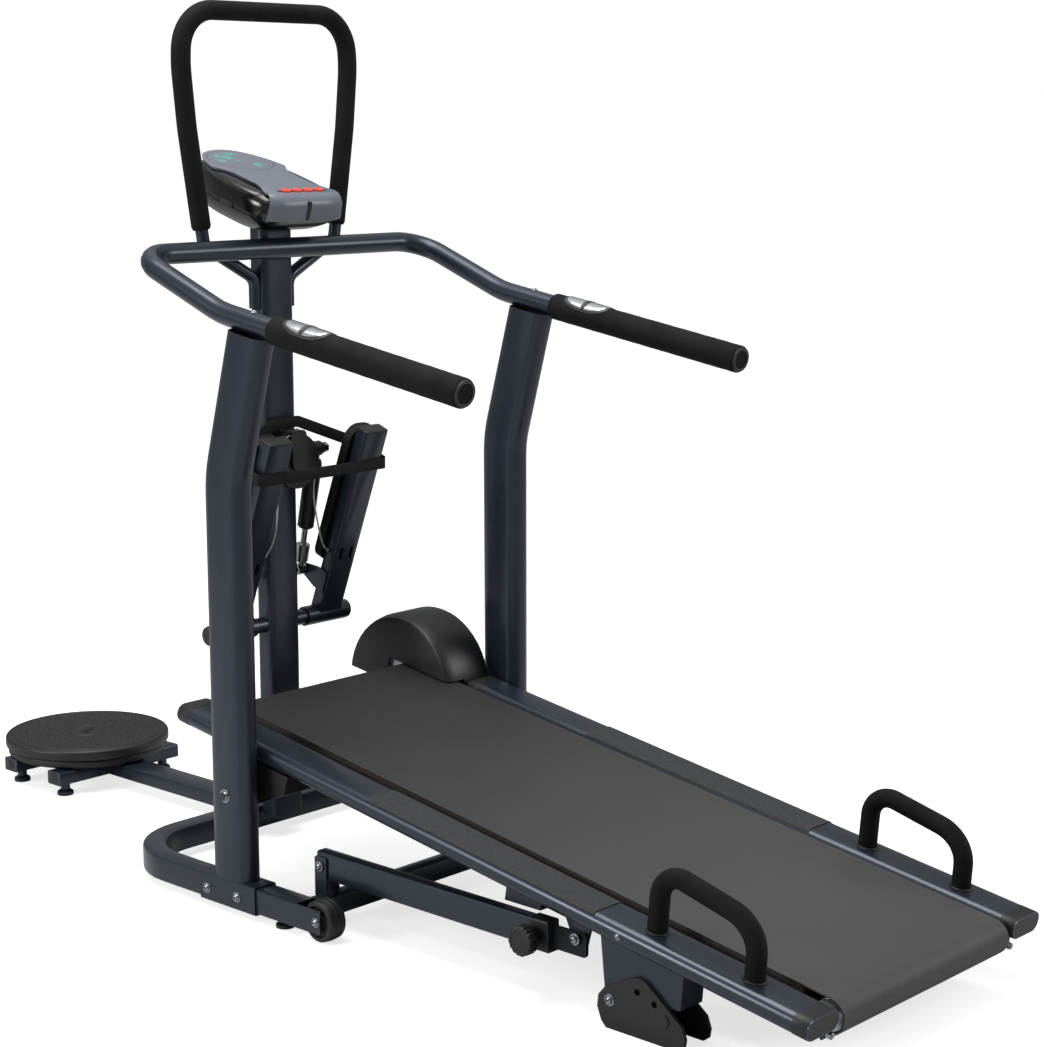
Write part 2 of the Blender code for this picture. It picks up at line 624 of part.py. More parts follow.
# ---------------------------------------------------------------- stepper
def build_stepper(steel, black, rubber, cable_steel, strap_black):
    face_y = MAST_Y - MAST_DEPTH / 2 - GAP
    reach = SHOCK_X - 0.011
    bar = block("shock_bar", (-reach, face_y - 0.014, SHOCK_BAR_Z - 0.007),
                (reach, face_y, SHOCK_BAR_Z + 0.007), steel)
    pivot_y = face_y - 0.007
    combine(bar, disc("pins", 0.005, (0, pivot_y, SHOCK_BAR_Z), (1, 0, 0), 2 * SHOCK_X + 0.034, steel, 16))
    upper = Vector((0, pivot_y, SHOCK_BAR_Z))

    for side, sx in (("left", -1), ("right", 1)):
        x = sx * PEDAL_X
        tube = sweep(f"{side}_pedal_arm", [pedal(0.008, 0, x), pedal(ARM_LENGTH, 0, x)],
                     rounded(ARM_WIDTH, ARM_DEPTH, 0.003, 2), steel,
                     rounded(ARM_WIDTH - 2 * TUBE_WALL, ARM_DEPTH - 2 * TUBE_WALL, 0.0015, 2), up=(0, 1, 0))
        hub_x = sx * (MAST_WIDTH / 2 + 0.022 + PEDAL_SLEEVE / 2)
        combine(tube, disc("hub", SLEEVE_R, (hub_x, MAST_Y, SHAFT_Z), (1, 0, 0), PEDAL_SLEEVE, steel, 24))
        # one lug on the arm's inner side, with the pin that the shock's lower eye turns on
        lug_points = [(0.046, -0.008), (0.082, -0.008), (0.082, 0.014),
                      (SHOCK_PIVOT_U + 0.008, SHOCK_PIVOT_BACK + 0.007),
                      (SHOCK_PIVOT_U, SHOCK_PIVOT_BACK + 0.010),
                      (SHOCK_PIVOT_U - 0.008, SHOCK_PIVOT_BACK + 0.007),
                      (0.046, 0.014)]
        lug_x = x - sx * (ARM_WIDTH / 2 + 0.0013)
        u_way, back_way = pedal(1, 0) - pedal(0, 0), pedal(0, 0) - pedal(0, 1)
        combine(tube, plate("lug", lug_points, pedal(0, 0, lug_x), u_way, back_way, 0.003, steel))
        pin_end = sx * (SHOCK_X - 0.011)
        combine(tube, disc("lug_pin", 0.005, pedal(SHOCK_PIVOT_U, -SHOCK_PIVOT_BACK, (lug_x + pin_end) / 2),
                           (1, 0, 0),
                           abs(lug_x - pin_end), steel, 16))
        cut(tube, disc("bore", SHAFT_R + RUNNING, (hub_x, MAST_Y, SHAFT_Z), (1, 0, 0), PEDAL_SLEEVE * 1.3,
                       steel, 24))
        for offset in (-0.011, 0.011):
            notch = plate("notch", [(-0.010, -0.003), (0.010, -0.003), (0.010, 0.003), (-0.010, 0.003)],
                          pedal(0.118, ARM_DEPTH / 2, x + offset), pedal(1, 0) - pedal(0, 0), (1, 0, 0),
                          0.012, steel)
            cut(tube, notch)
        hang(tube, (0, MAST_Y, SHAFT_Z))

        middle_u = ARM_LENGTH - 0.002 - PLATE_LENGTH / 2
        foot_plate = plate(f"{side}_foot_plate", rounded(PLATE_LENGTH, PLATE_WIDTH, 0.014, 4),
                           pedal(middle_u, -(ARM_DEPTH / 2 + GAP + PLATE_THICK / 2), x),
                           pedal(1, 0) - pedal(0, 0), (1, 0, 0), PLATE_THICK, rubber)
        hang(foot_plate, (0, MAST_Y, SHAFT_Z))

        # gas shock: its cylinder hangs on the bar, its rod runs out of the lower end to the arm's lugs
        at = Vector((sx * SHOCK_X, upper.y, upper.z))
        lower = pedal(SHOCK_PIVOT_U, -SHOCK_PIVOT_BACK, sx * SHOCK_X)
        down = (lower - at).normalized()
        length = (lower - at).length
        cylinder = turned(f"{side}_shock_cylinder",
                          [(0, 0.018), (SHOCK_R - 0.002, 0.018), (SHOCK_R, 0.024), (SHOCK_R, 0.132),
                           (SHOCK_R - 0.003, 0.135), (SHOCK_BORE_R, 0.135), (SHOCK_BORE_R, 0.028),
                           (0, 0.028)],
                          at, down, black, 20)
        eye = disc("eye", 0.012, at, (1, 0, 0), 0.016, black, 20)
        combine(cylinder, eye)
        neck = disc("neck", 0.008, at + down * 0.013, down, 0.014, black, 16)
        combine(cylinder, neck)
        cut(cylinder, disc("eye_bore", 0.005 + RUNNING, at, (1, 0, 0), 0.03, black, 16))
        hang(cylinder, at)
        rod = disc(f"{side}_shock_rod", SHOCK_ROD_R, at + down * ((0.060 + length - 0.006) / 2), down,
                   length - 0.006 - 0.060, cable_steel, 16)
        combine(rod, disc("collar", SHOCK_R - 0.002, at + down * (length - 0.030), down, 0.028, cable_steel,
                          20))
        combine(rod, disc("rod_eye", 0.009, lower, (1, 0, 0), 0.018, cable_steel, 20))
        cut(rod, disc("eye_bore", 0.005 + RUNNING, lower, (1, 0, 0), 0.03, cable_steel, 16))
        hang(rod, lower)

    # pulley on its bracket, and the cable over it from one arm to the other
    pulley_y = face_y - 0.014 - 0.0075 - PULLEY_THICK / 2
    centre = Vector((0, pulley_y, PULLEY_Z))
    half = PULLEY_THICK / 2
    rim = [(0.005 + RUNNING, -half), (PULLEY_R + 0.004, -half), (PULLEY_R + 0.004, -half + 0.002),
           (PULLEY_R, -0.0025), (PULLEY_R, 0.0025), (PULLEY_R + 0.004, half - 0.002),
           (PULLEY_R + 0.004, half),
           (0.005 + RUNNING, half)]
    hang(turned("pulley", rim, centre, (0, 1, 0), black, 32, bored=True), centre)
    front_y = pulley_y - half - 0.0025
    bracket = plate("pulley_bracket", rounded(0.030, 0.064, 0.010, 3),
                    (0, front_y - 0.0015, PULLEY_Z + 0.018),
                    (1, 0, 0), (0, 0, 1), 0.003, black)
    combine(bracket, disc("axle", 0.005, (0, (front_y + face_y - 0.016) / 2, PULLEY_Z), (0, 1, 0),
                          face_y - 0.016 - front_y, black, 16))
    arm_z = PULLEY_Z + PULLEY_R + 0.0075
    combine(bracket, block("arm", (-0.010, front_y - 0.003, arm_z - 0.0015),
                           (0.010, face_y, arm_z + 0.0015), black))
    foot_low = SHOCK_BAR_Z + 0.007 + GAP
    combine(bracket, block("foot", (-0.014, face_y - 0.003, foot_low), (0.014, face_y, arm_z + 0.0015),
                           black))

    route = [(-PEDAL_X + ARM_WIDTH / 2 + 0.006, 0.192, 0.462), (-0.060, 0.186, 0.478), (-0.046, 0.181, 0.510),
             (-0.038, pulley_y, 0.560), (-0.0415, pulley_y, 0.600)]
    ring = PULLEY_R + CABLE_R + GAP
    route += [(-ring * math.cos(a), pulley_y, PULLEY_Z + ring * math.sin(a))
              for a in (math.radians(6 + 16.8 * i) for i in range(11))]
    route += [(-x, y, z) for x, y, z in route[4::-1]]
    cable = bpy.data.curves.new("stepper_cable", "CURVE")
    cable.dimensions = "3D"
    smooth = smooth_points(route, 2)
    spline = cable.splines.new("POLY")
    spline.points.add(len(smooth) - 1)
    for point, place in zip(spline.points, smooth):
        point.co = (*place, 1.0)
    cable.bevel_depth = CABLE_R
    cable.bevel_resolution = 2
    cable.use_fill_caps = True
    cable.materials.append(cable_steel)
    bpy.context.collection.objects.link(bpy.data.objects.new("stepper_cable", cable))

    # storage strap round both pedals and back to the mast
    arm_front = pedal((STRAP_Z - SHAFT_Z) / math.cos(math.radians(PEDAL_LEAN)), ARM_DEPTH / 2).y
    edge = PEDAL_X + PLATE_WIDTH / 2 + 0.0025
    front = arm_front - 0.006
    rear_z = arm_z + 0.0015 + STRAP_HEIGHT / 2 + 0.001
    loop = [(edge, front, STRAP_Z), (edge, front + 0.080, STRAP_Z + 0.028), (0.024, face_y - 0.009, rear_z),
            (-0.024, face_y - 0.009, rear_z), (-edge, front + 0.080, STRAP_Z + 0.028),
            (-edge, front, STRAP_Z)]
    sweep("storage_strap", loop, [(-STRAP_THICK / 2, -STRAP_HEIGHT / 2), (STRAP_THICK / 2, -STRAP_HEIGHT / 2),
                                  (STRAP_THICK / 2, STRAP_HEIGHT / 2), (-STRAP_THICK / 2, STRAP_HEIGHT / 2)],
          strap_black, up=(0, 0, 1), closed=True)


def smooth_points(points, extra):
    """Points on a smooth curve through the given ones, with extra ones between each two."""
    points = [Vector(p) for p in points]
    padded = [2 * points[0] - points[1]] + points + [2 * points[-1] - points[-2]]
    result = []
    for p0, p1, p2, p3 in zip(padded, padded[1:], padded[2:], padded[3:]):
        for step in range(extra):
            t = step / extra
            result.append(0.5 * ((2 * p1) + (p2 - p0) * t + (2 * p0 - 5 * p1 + 4 * p2 - p3) * t * t
                                 + (3 * p1 - p0 - 3 * p2 + p3) * t ** 3))
    result.append(points[-1])
    return result


# ---------------------------------------------------------------- twister
def build_twister(steel, black, rubber):
    bar_front = BOW_BAR_Y + BASE_TUBE_W / 2 + GAP
    last_bar = max(TWISTER_BARS_Y)
    z = ARM_BAR_BOTTOM + ARM_BAR_HEIGHT / 2
    frame = sweep("twister_frame", [(0, bar_front, z), (0, last_bar, z)],
                  rounded(ARM_BAR_WIDTH, ARM_BAR_HEIGHT, 0.003, 2), steel)
    for y in TWISTER_BARS_Y:
        combine(frame, sweep("bar", [(-TWISTER_BAR_HALF, y, z), (TWISTER_BAR_HALF, y, z)],
                             rounded(TWISTER_BAR_DEPTH, ARM_BAR_HEIGHT - 0.0004, 0.003, 2), steel))
        for x in (-TWISTER_FOOT_X, TWISTER_FOOT_X):
            combine(frame, turned("foot", [(0, 0), (TWISTER_FOOT_R, 0), (TWISTER_FOOT_R, 0.006),
                                           (0.008, 0.010),
                                           (0.008, ARM_BAR_BOTTOM + 0.004), (0, ARM_BAR_BOTTOM + 0.004)],
                                  (x, y, 0), (0, 0, 1), black, 18))
    base_low = ARM_BAR_BOTTOM + ARM_BAR_HEIGHT + GAP
    base_high = TWISTER_TOP - 0.020
    spindle = 0.008
    turned("twister_base", [(0, base_low), (TWISTER_R - 0.016, base_low),
                            (TWISTER_R - 0.005, base_low + 0.004),
                            (TWISTER_R - 0.004, base_high), (spindle, base_high),
                            (spindle, base_high + 0.010),
                            (0, base_high + 0.010)], (0, TWISTER_Y, 0), (0, 0, 1), rubber, 40)
    plate_low = base_high + 0.001
    profile = [(spindle + RUNNING, plate_low), (TWISTER_R - 0.002, plate_low), (TWISTER_R, plate_low + 0.003),
               (TWISTER_R, TWISTER_TOP - 0.005), (TWISTER_R - 0.002, TWISTER_TOP - 0.001),
               (TWISTER_R - 0.006, TWISTER_TOP), (0, TWISTER_TOP), (0, base_high + 0.0115),
               (spindle + RUNNING, base_high + 0.0115)]
    top = turned("twister_plate", profile, (0, TWISTER_Y, 0), (0, 0, 1), rubber, 48, bored=True)
    hang(top, (0, TWISTER_Y, TWISTER_TOP))


# ---------------------------------------------------------------- deck
def rail_solid(name, x, front_s, steel):
    outer = rounded(RAIL_WIDTH, RAIL_HEIGHT, RAIL_CORNER, 4)
    inner = rounded(RAIL_WIDTH - 2 * TUBE_WALL, RAIL_HEIGHT - 2 * TUBE_WALL, RAIL_CORNER - TUBE_WALL, 4)
    middle = -(RAIL_DROP + RAIL_HEIGHT / 2)
    rail = sweep(name, [deck(front_s, middle, x), deck(RAIL_REAR_S, middle, x)], outer, steel, inner,
                 up=deck(0, 1) - deck(0, 0))
    # rear leg: a box plate under the rail that carries the cam foot
    corners = [deck(LEG_S[0], RAIL_BOTTOM_H + 0.0008), deck(LEG_S[1], RAIL_BOTTOM_H + 0.0008),
               Vector((0, LEG_PIVOT[0] - 0.112, 0.052)), Vector((0, LEG_PIVOT[0] - 0.075, 0.050)),
               Vector((0, LEG_PIVOT[0] - 0.012, LEG_PIVOT[1] - 0.012)),
               Vector((0, LEG_PIVOT[0] + 0.010, LEG_PIVOT[1] - 0.006)),
               Vector((0, LEG_PIVOT[0] + 0.012, LEG_PIVOT[1] + 0.010))]
    leg = plate("leg", [(c.y, c.z) for c in corners], (x, 0, 0), (0, 1, 0), (0, 0, 1), LEG_WIDTH, steel)
    cut(leg, disc("pivot_bore", AXLE_R + RUNNING, (x, *LEG_PIVOT), (1, 0, 0), 0.05, steel, 16))
    combine(rail, leg)
    return rail


def pad(name, x, rubber):
    """Anti-slip strip that wraps over the top of a rail."""
    across, middle = RAIL_WIDTH / 2 - RAIL_CORNER, RAIL_HEIGHT / 2 - RAIL_CORNER
    outline = []
    for radius, angles in ((RAIL_CORNER + GAP + PAD_THICK, (45, 67.5, 90, 90, 112.5, 135)),
                           (RAIL_CORNER + GAP, (135, 112.5, 90, 90, 67.5, 45))):
        for place, degrees in enumerate(angles):
            a = math.radians(degrees)
            right_side = (place < 3) == (angles[0] < 90)
            outline.append(((across if right_side else -across) + radius * math.cos(a),
                            middle + radius * math.sin(a)))
    centre_h = -(RAIL_DROP + RAIL_HEIGHT / 2)
    return sweep(name, [deck(PAD_S[1], centre_h, x), deck(PAD_S[0], centre_h, x)], outline, rubber,
                 up=deck(0, 1) - deck(0, 0))


def cam_foot(name, x, black):
    """Two cam plates joined by their pivot pin, standing on their flat lower edge."""
    y, z = LEG_PIVOT
    outline = [(y + 0.006, 0.0), (y - CAM_LENGTH - 0.008, 0.0), (y - CAM_LENGTH - 0.016, 0.006),
               (y - CAM_LENGTH - 0.018, 0.018), (y - CAM_LENGTH - 0.012, 0.034), (y - 0.078, 0.064),
               (y - 0.058, 0.078), (y - 0.044, 0.080), (y - 0.030, 0.074), (y - 0.006, 0.061),
               (y + 0.008, 0.055),
               (y + 0.019, 0.042), (y + 0.021, 0.026), (y + 0.014, 0.008)]
    offset = LEG_WIDTH / 2 + GAP + CAM_THICK / 2
    left = plate(name, outline, (x - offset, 0, 0), (0, 1, 0), (0, 0, 1), CAM_THICK, black)
    for hole in ((y - 0.046, 0.061), (y - 0.074, 0.052)):
        cut(left, disc("hole", 0.0045, (x - offset, *hole), (1, 0, 0), 0.02, black, 12))
    right = plate("right", outline, (x + offset, 0, 0), (0, 1, 0), (0, 0, 1), CAM_THICK, black)
    for hole in ((y - 0.046, 0.061), (y - 0.074, 0.052)):
        cut(right, disc("hole", 0.0045, (x + offset, *hole), (1, 0, 0), 0.02, black, 12))
    pin = disc("pin", AXLE_R, (x, y, z), (1, 0, 0), LEG_WIDTH + CAM_THICK, black, 16)
    combine(left, pin)
    combine(left, right)
    for side in (-1, 1):
        combine(left, disc("boss", 0.010, (x + side * (offset + CAM_THICK / 2), y - 0.088, 0.034),
                           (1, 0, 0), 0.003,
                           black, 18))
    hang(left, (x, y, z))


def build_deck(steel, black, rubber, foam, wood, belt_black, plastic):
    left = rail_solid("left_rail", -RAIL_X, LEFT_RAIL_FRONT_S, steel)
    rail_solid("right_rail", RAIL_X, RIGHT_RAIL_FRONT_S, steel)
    pivot = Vector((0, 0, PIVOT_Z))
    # strut bracket and stop block under the left rail
    tip = Vector((0, STRUT_BAR_END[0], STRUT_BAR_END[1]))
    lug_x = STRUT_X + STRUT_BAR_THICK / 2 + 0.0005 + 0.002
    top_front, top_rear = deck(tip.y + 0.018, RAIL_BOTTOM_H + 0.0008), deck(tip.y - 0.034,
                                                                            RAIL_BOTTOM_H + 0.0008)
    lug = [(top_front.y, top_front.z), (top_rear.y, top_rear.z), (tip.y - 0.012, tip.z - 0.010),
           (tip.y + 0.010, tip.z - 0.010)]
    combine(left, plate("lug", lug, (lug_x, 0, 0), (0, 1, 0), (0, 0, 1), 0.004, steel))
    stop = [deck(-0.502, RAIL_BOTTOM_H + 0.0008), deck(-0.566, RAIL_BOTTOM_H + 0.0008),
            deck(-0.566, RAIL_BOTTOM_H - 0.024), deck(-0.502, RAIL_BOTTOM_H - 0.034)]
    combine(left, plate("stop", [(c.y, c.z) for c in stop], (-RAIL_X + 0.017, 0, 0), (0, 1, 0), (0, 0, 1),
                        0.030, steel))
    for rail in (bpy.data.objects["left_rail"], bpy.data.objects["right_rail"]):
        hang(rail, pivot)

    # cross members: one between the rails under the board, one low one that carries the hinge
    reach = RAIL_X - RAIL_WIDTH / 2 - GAP
    board_top = -(BELT_THICK + 0.0006)
    board_low = board_top - BOARD_THICK
    normal = deck(0, 1) - deck(0, 0)
    member = sweep("rear_cross_member", [deck(-0.545, board_low - GAP - 0.011, -reach),
                                         deck(-0.545, board_low - GAP - 0.011, reach)],
                   rounded(0.050, 0.022, 0.003, 2), steel, rounded(0.046, 0.018, 0.0015, 2), up=normal)
    hang(member, pivot)
    front = sweep("front_cross_member", [(-RAIL_OUTER + 0.004, 0, PIVOT_Z), (RAIL_OUTER - 0.004, 0, PIVOT_Z)],
                  rounded(0.030, 0.024, 0.003, 2), black, up=(0, 0, 1))
    for sx in (-1, 1):
        low = PIVOT_Z - deck(0, 0).z - 0.016
        bracket = [deck(0.012, RAIL_BOTTOM_H - GAP), deck(-0.090, RAIL_BOTTOM_H - GAP),
                   deck(-0.086, RAIL_BOTTOM_H - 0.030),
                   deck(-0.030, low), deck(0.008, low)]
        inner_x, outer_x = RAIL_X - RAIL_WIDTH / 2 + 0.003, RAIL_OUTER - 0.004
        combine(front, plate("bracket", [(c.y, c.z) for c in bracket], (sx * (inner_x + outer_x) / 2, 0, 0),
                             (0, 1, 0), (0, 0, 1), outer_x - inner_x, black))
        cut(front, disc("bore", PIVOT_R + RUNNING, (sx * RAIL_OUTER, 0, PIVOT_Z), (1, 0, 0),
                        2 * (RAIL_OUTER - (RAIL_X - 0.013)), black, 20))
    hang(front, pivot)

    board = [deck(FRONT_ROLLER_S - 0.040, board_top), deck(REAR_ROLLER_S + 0.040, board_top),
             deck(REAR_ROLLER_S + 0.040, board_low), deck(FRONT_ROLLER_S - 0.040, board_low)]
    hang(plate("deck_board", [(c.y, c.z) for c in board], (0, 0, 0), (0, 1, 0), (0, 0, 1), BELT_WIDTH,
               wood), pivot)

    # belt: a closed band round both rollers
    front_h, rear_h = -(BELT_THICK + FRONT_ROLLER_R), -(BELT_THICK + REAR_ROLLER_R)
    span = FRONT_ROLLER_S - REAR_ROLLER_S
    dip = math.asin((FRONT_ROLLER_R - REAR_ROLLER_R) / span)
    outer_line, inner_line = [], []
    for line, extra in ((outer_line, BELT_THICK), (inner_line, GAP)):
        for step in range(13):
            angle = math.pi / 2 - (math.pi + dip) * step / 12
            r = FRONT_ROLLER_R + extra
            line.append(deck(FRONT_ROLLER_S + r * math.cos(angle), front_h + r * math.sin(angle)))
        for step in range(13):
            angle = -math.pi / 2 - dip - (math.pi - dip) * step / 12
            r = REAR_ROLLER_R + extra
            line.append(deck(REAR_ROLLER_S + r * math.cos(angle), rear_h + r * math.sin(angle)))
    half = BELT_WIDTH / 2
    rows = [[(x, p.y, p.z) for p in line] for x, line in ((-half, outer_line), (-half, inner_line),
                                                           (half, inner_line), (half, outer_line))]
    size = len(outer_line)
    vertices = [v for row in rows for v in row]
    faces = [(r * size + k, r * size + (k + 1) % size, ((r + 1) % 4) * size + (k + 1) % size,
              ((r + 1) % 4) * size + k)
             for r in range(4) for k in range(size)]
    hang(add("belt", vertices, faces, belt_black), pivot)

    front_axis, rear_axis = deck(FRONT_ROLLER_S, front_h), deck(REAR_ROLLER_S, rear_h)
    for name, radius, axis_point in (("front_roller", FRONT_ROLLER_R, front_axis),
                                     ("rear_roller", REAR_ROLLER_R, rear_axis)):
        inside = BELT_WIDTH / 2 - 0.004
        shaft = reach - 0.001
        far = FLYWHEEL_X[1] + 0.004 if name == "front_roller" else shaft
        hang(turned(name, [(0, -shaft), (ROLLER_SHAFT_R, -shaft), (ROLLER_SHAFT_R, -inside),
                           (radius - 0.001, -inside),
                           (radius, -inside + 0.001), (radius, inside - 0.001), (radius - 0.001, inside),
                           (ROLLER_SHAFT_R, inside), (ROLLER_SHAFT_R, far), (0, far)],
                    axis_point, (1, 0, 0), steel, 28), axis_point)
    low_x, high_x = FLYWHEEL_X
    middle = Vector(((low_x + high_x) / 2, front_axis.y, front_axis.z))
    half = (high_x - low_x) / 2
    hang(turned("flywheel", [(ROLLER_SHAFT_R + GAP, -half), (0.030, -half), (0.030, -half + 0.008),
                             (FLYWHEEL_R - 0.018, -half + 0.008),
                             (FLYWHEEL_R - 0.018, -half), (FLYWHEEL_R, -half), (FLYWHEEL_R, half),
                             (ROLLER_SHAFT_R + GAP, half)],
                middle, (1, 0, 0), steel, 32, bored=True), front_axis)

    # flywheel cover: a drum with round rims, open below
    width = COVER_X[1] - COVER_X[0]
    half = width / 2
    drum = [(0, -half), (COVER_R - 0.009, -half), (COVER_R - 0.005, -half + 0.0015),
            (COVER_R - 0.003, -half + 0.006),
            (COVER_R, -half + 0.020), (COVER_R, half - 0.010), (COVER_R - 0.003, half - 0.003),
            (COVER_R - 0.010, half), (0, half)]
    hollow = [(0, -half + COVER_WALL), (COVER_R - 0.011, -half + COVER_WALL),
              (COVER_R - COVER_WALL, -half + 0.020),
              (COVER_R - COVER_WALL, half - 0.010), (COVER_R - 0.012, half - COVER_WALL),
              (0, half - COVER_WALL)]
    middle = Vector(((COVER_X[0] + COVER_X[1]) / 2, COVER_S_Y, COVER_Z))
    cover = turned("flywheel_cover", drum, middle, (1, 0, 0), plastic, 48)
    cut(cover, turned("hollow", hollow, middle, (1, 0, 0), plastic, 48))
    below = [deck(-0.05, -COVER_SKIRT), deck(0.40, -COVER_SKIRT), deck(0.40, -0.30), deck(-0.05, -0.30)]
    cut(cover, plate("below", [(c.y, c.z) for c in below], (middle.x, 0, 0), (0, 1, 0), (0, 0, 1), 0.2,
                     plastic))
    belt_end = FRONT_ROLLER_S + FRONT_ROLLER_R + BELT_THICK + 0.006
    room = [deck(-0.05, 0.002), deck(belt_end, 0.002), deck(belt_end, -0.12), deck(-0.05, -0.12)]
    room_far = reach + GAP + 0.002
    cut(cover, plate("room", [(c.y, c.z) for c in room], (room_far - 0.06, 0, 0), (0, 1, 0), (0, 0, 1),
                     0.12, plastic))
    rail_room = [deck(-0.05, -RAIL_DROP + GAP), deck(RIGHT_RAIL_FRONT_S + 0.002, -RAIL_DROP + GAP),
                 deck(RIGHT_RAIL_FRONT_S + 0.002, RAIL_BOTTOM_H + 0.003), deck(0.016, RAIL_BOTTOM_H + 0.003),
                 deck(0.016, -0.12), deck(-0.05, -0.12)]
    cut(cover, plate("rail_room", [(c.y, c.z) for c in rail_room], (RAIL_X, 0, 0), (0, 1, 0), (0, 0, 1),
                     0.12, plastic))
    hang(cover, pivot)

    # push-up handles on the rails, and the cam feet under them
    for side, sx in (("left", -1), ("right", 1)):
        x = sx * RAIL_X
        foot_h = -RAIL_DROP + GAP
        sunk = foot_h - 0.006
        a, b = PUSH_S
        path = bend([deck(a, sunk, x), deck(a + 0.006, PUSH_HEIGHT, x),
                     deck(b + 0.030, PUSH_HEIGHT - 0.014, x),
                     deck(b + 0.004, 0.050, x), deck(b, sunk, x)], [0.032, 0.055, 0.045])
        handle = sweep(f"{side}_push_up_handle", path, circle(PUSH_R, 14), foam, up=(1, 0, 0))
        level = [deck(a + 0.03, foot_h), deck(b - 0.03, foot_h), deck(b - 0.03, -0.05), deck(a + 0.03, -0.05)]
        cut(handle, plate("level", [(c.y, c.z) for c in level], (x, 0, 0), (0, 1, 0), (0, 0, 1), 0.1, foam))
        hang(handle, pivot)
        hang(pad(f"{side}_rail_pad", x, rubber), pivot)
        cam_foot(f"{side}_cam_foot", x, black)


# ---------------------------------------------------------------- folding strut
def build_strut(steel, black, dark_steel):
    y, z = STRUT_PIVOT
    pivot = Vector((STRUT_X, y, z))
    tube_end = y - STRUT_LENGTH
    outer = rounded(STRUT_WIDTH, STRUT_HEIGHT, 0.003, 2)
    inner = rounded(STRUT_WIDTH - 2 * TUBE_WALL, STRUT_HEIGHT - 2 * TUBE_WALL, 0.0015, 2)
    tube = sweep("strut_tube", [(STRUT_X, y + 0.010, z), (STRUT_X, tube_end, z)], outer, steel, inner)
    knob_y = y - KNOB_S
    cut(tube, disc("pin_hole", 0.005 + RUNNING, (STRUT_X - STRUT_WIDTH / 2, knob_y, z - 0.004), (1, 0, 0),
                   0.010, steel, 16))
    cut(tube, disc("pivot_bore", AXLE_R + RUNNING, pivot, (1, 0, 0), 0.05, steel, 16))
    hang(tube, pivot)
    end_y, end_z = STRUT_BAR_END
    bar_front = y - STRUT_BAR_FRONT
    bar_end = end_y - STRUT_BAR_LIP
    bar = plate("strut_bar", rounded(bar_front - bar_end, STRUT_BAR_HEIGHT, 0.005, 3),
                (STRUT_X, (bar_front + bar_end) / 2, z), (0, 1, 0), (0, 0, 1), STRUT_BAR_THICK, dark_steel)
    combine(bar, disc("bolt", 0.008, (STRUT_X - STRUT_BAR_THICK / 2 - 0.002, end_y, end_z), (1, 0, 0),
                      0.006, dark_steel, 16))
    hang(bar, (STRUT_X, end_y, end_z))
    face = STRUT_X - STRUT_WIDTH / 2
    pin_tip = STRUT_X - STRUT_BAR_THICK / 2 - GAP
    knob = turned("strut_knob", [(0, face - KNOB_DEPTH), (KNOB_R - 0.002, face - KNOB_DEPTH),
                                 (KNOB_R, face - KNOB_DEPTH + 0.002), (KNOB_R, face - 0.012),
                                 (0.009, face - 0.010), (0.009, face - GAP), (0.005, face - GAP),
                                 (0.005, pin_tip), (0, pin_tip)],
                  (0, knob_y, z - 0.004), (1, 0, 0), black, 20)
    hang(knob, (face, knob_y, z - 0.004))


def main():
    for obj in list(bpy.data.objects):
        bpy.data.objects.remove(obj)
    steel = paint("satin slate enamel on steel", 0.045, 0.055, 0.075, 0.38, 0.3)
    black = paint("black moulded plastic", 0.012, 0.012, 0.013, 0.45)
    foam = paint("black nitrile foam", 0.016, 0.016, 0.017, 0.85)
    rubber = paint("black rubber", 0.014, 0.014, 0.014, 0.7)
    belt_black = paint("woven belt", 0.03, 0.03, 0.03, 0.75)
    grey = paint("grey ABS", 0.16, 0.165, 0.19, 0.4)
    red = paint("red buttons", 0.7, 0.04, 0.02, 0.4)
    chrome = paint("polished steel", 0.6, 0.6, 0.6, 0.2, 1.0)
    wire = paint("steel wire rope", 0.4, 0.4, 0.4, 0.35, 1.0)
    dark_steel = paint("blackened steel", 0.05, 0.05, 0.05, 0.5, 0.6)
    wood = paint("fibreboard", 0.05, 0.035, 0.02, 0.7)
    cover = paint("black satin plastic", 0.014, 0.014, 0.014, 0.35)

    build_base(steel, black)
    build_uprights(steel)
    build_mast(steel)
    build_handrail(steel, foam, black, chrome)
    build_loop(steel, foam)
    build_console(grey, cover, red)
    build_stepper(steel, black, rubber, wire, rubber)
    build_twister(steel, black, rubber)
    build_deck(steel, black, rubber, foam, wood, belt_black, cover)
    build_strut(steel, black, dark_steel)

    for obj in bpy.data.objects:
        obj.location.y += FOOT_Y


main()
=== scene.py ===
"""Looks of an inclined manual treadmill with a cable stepper, a twister plate and push-up handles.

Laid out as an add-on and run as a script.  Metres, Z up, +X the user's right, +Y towards the twister plate.
"""
import json
import math

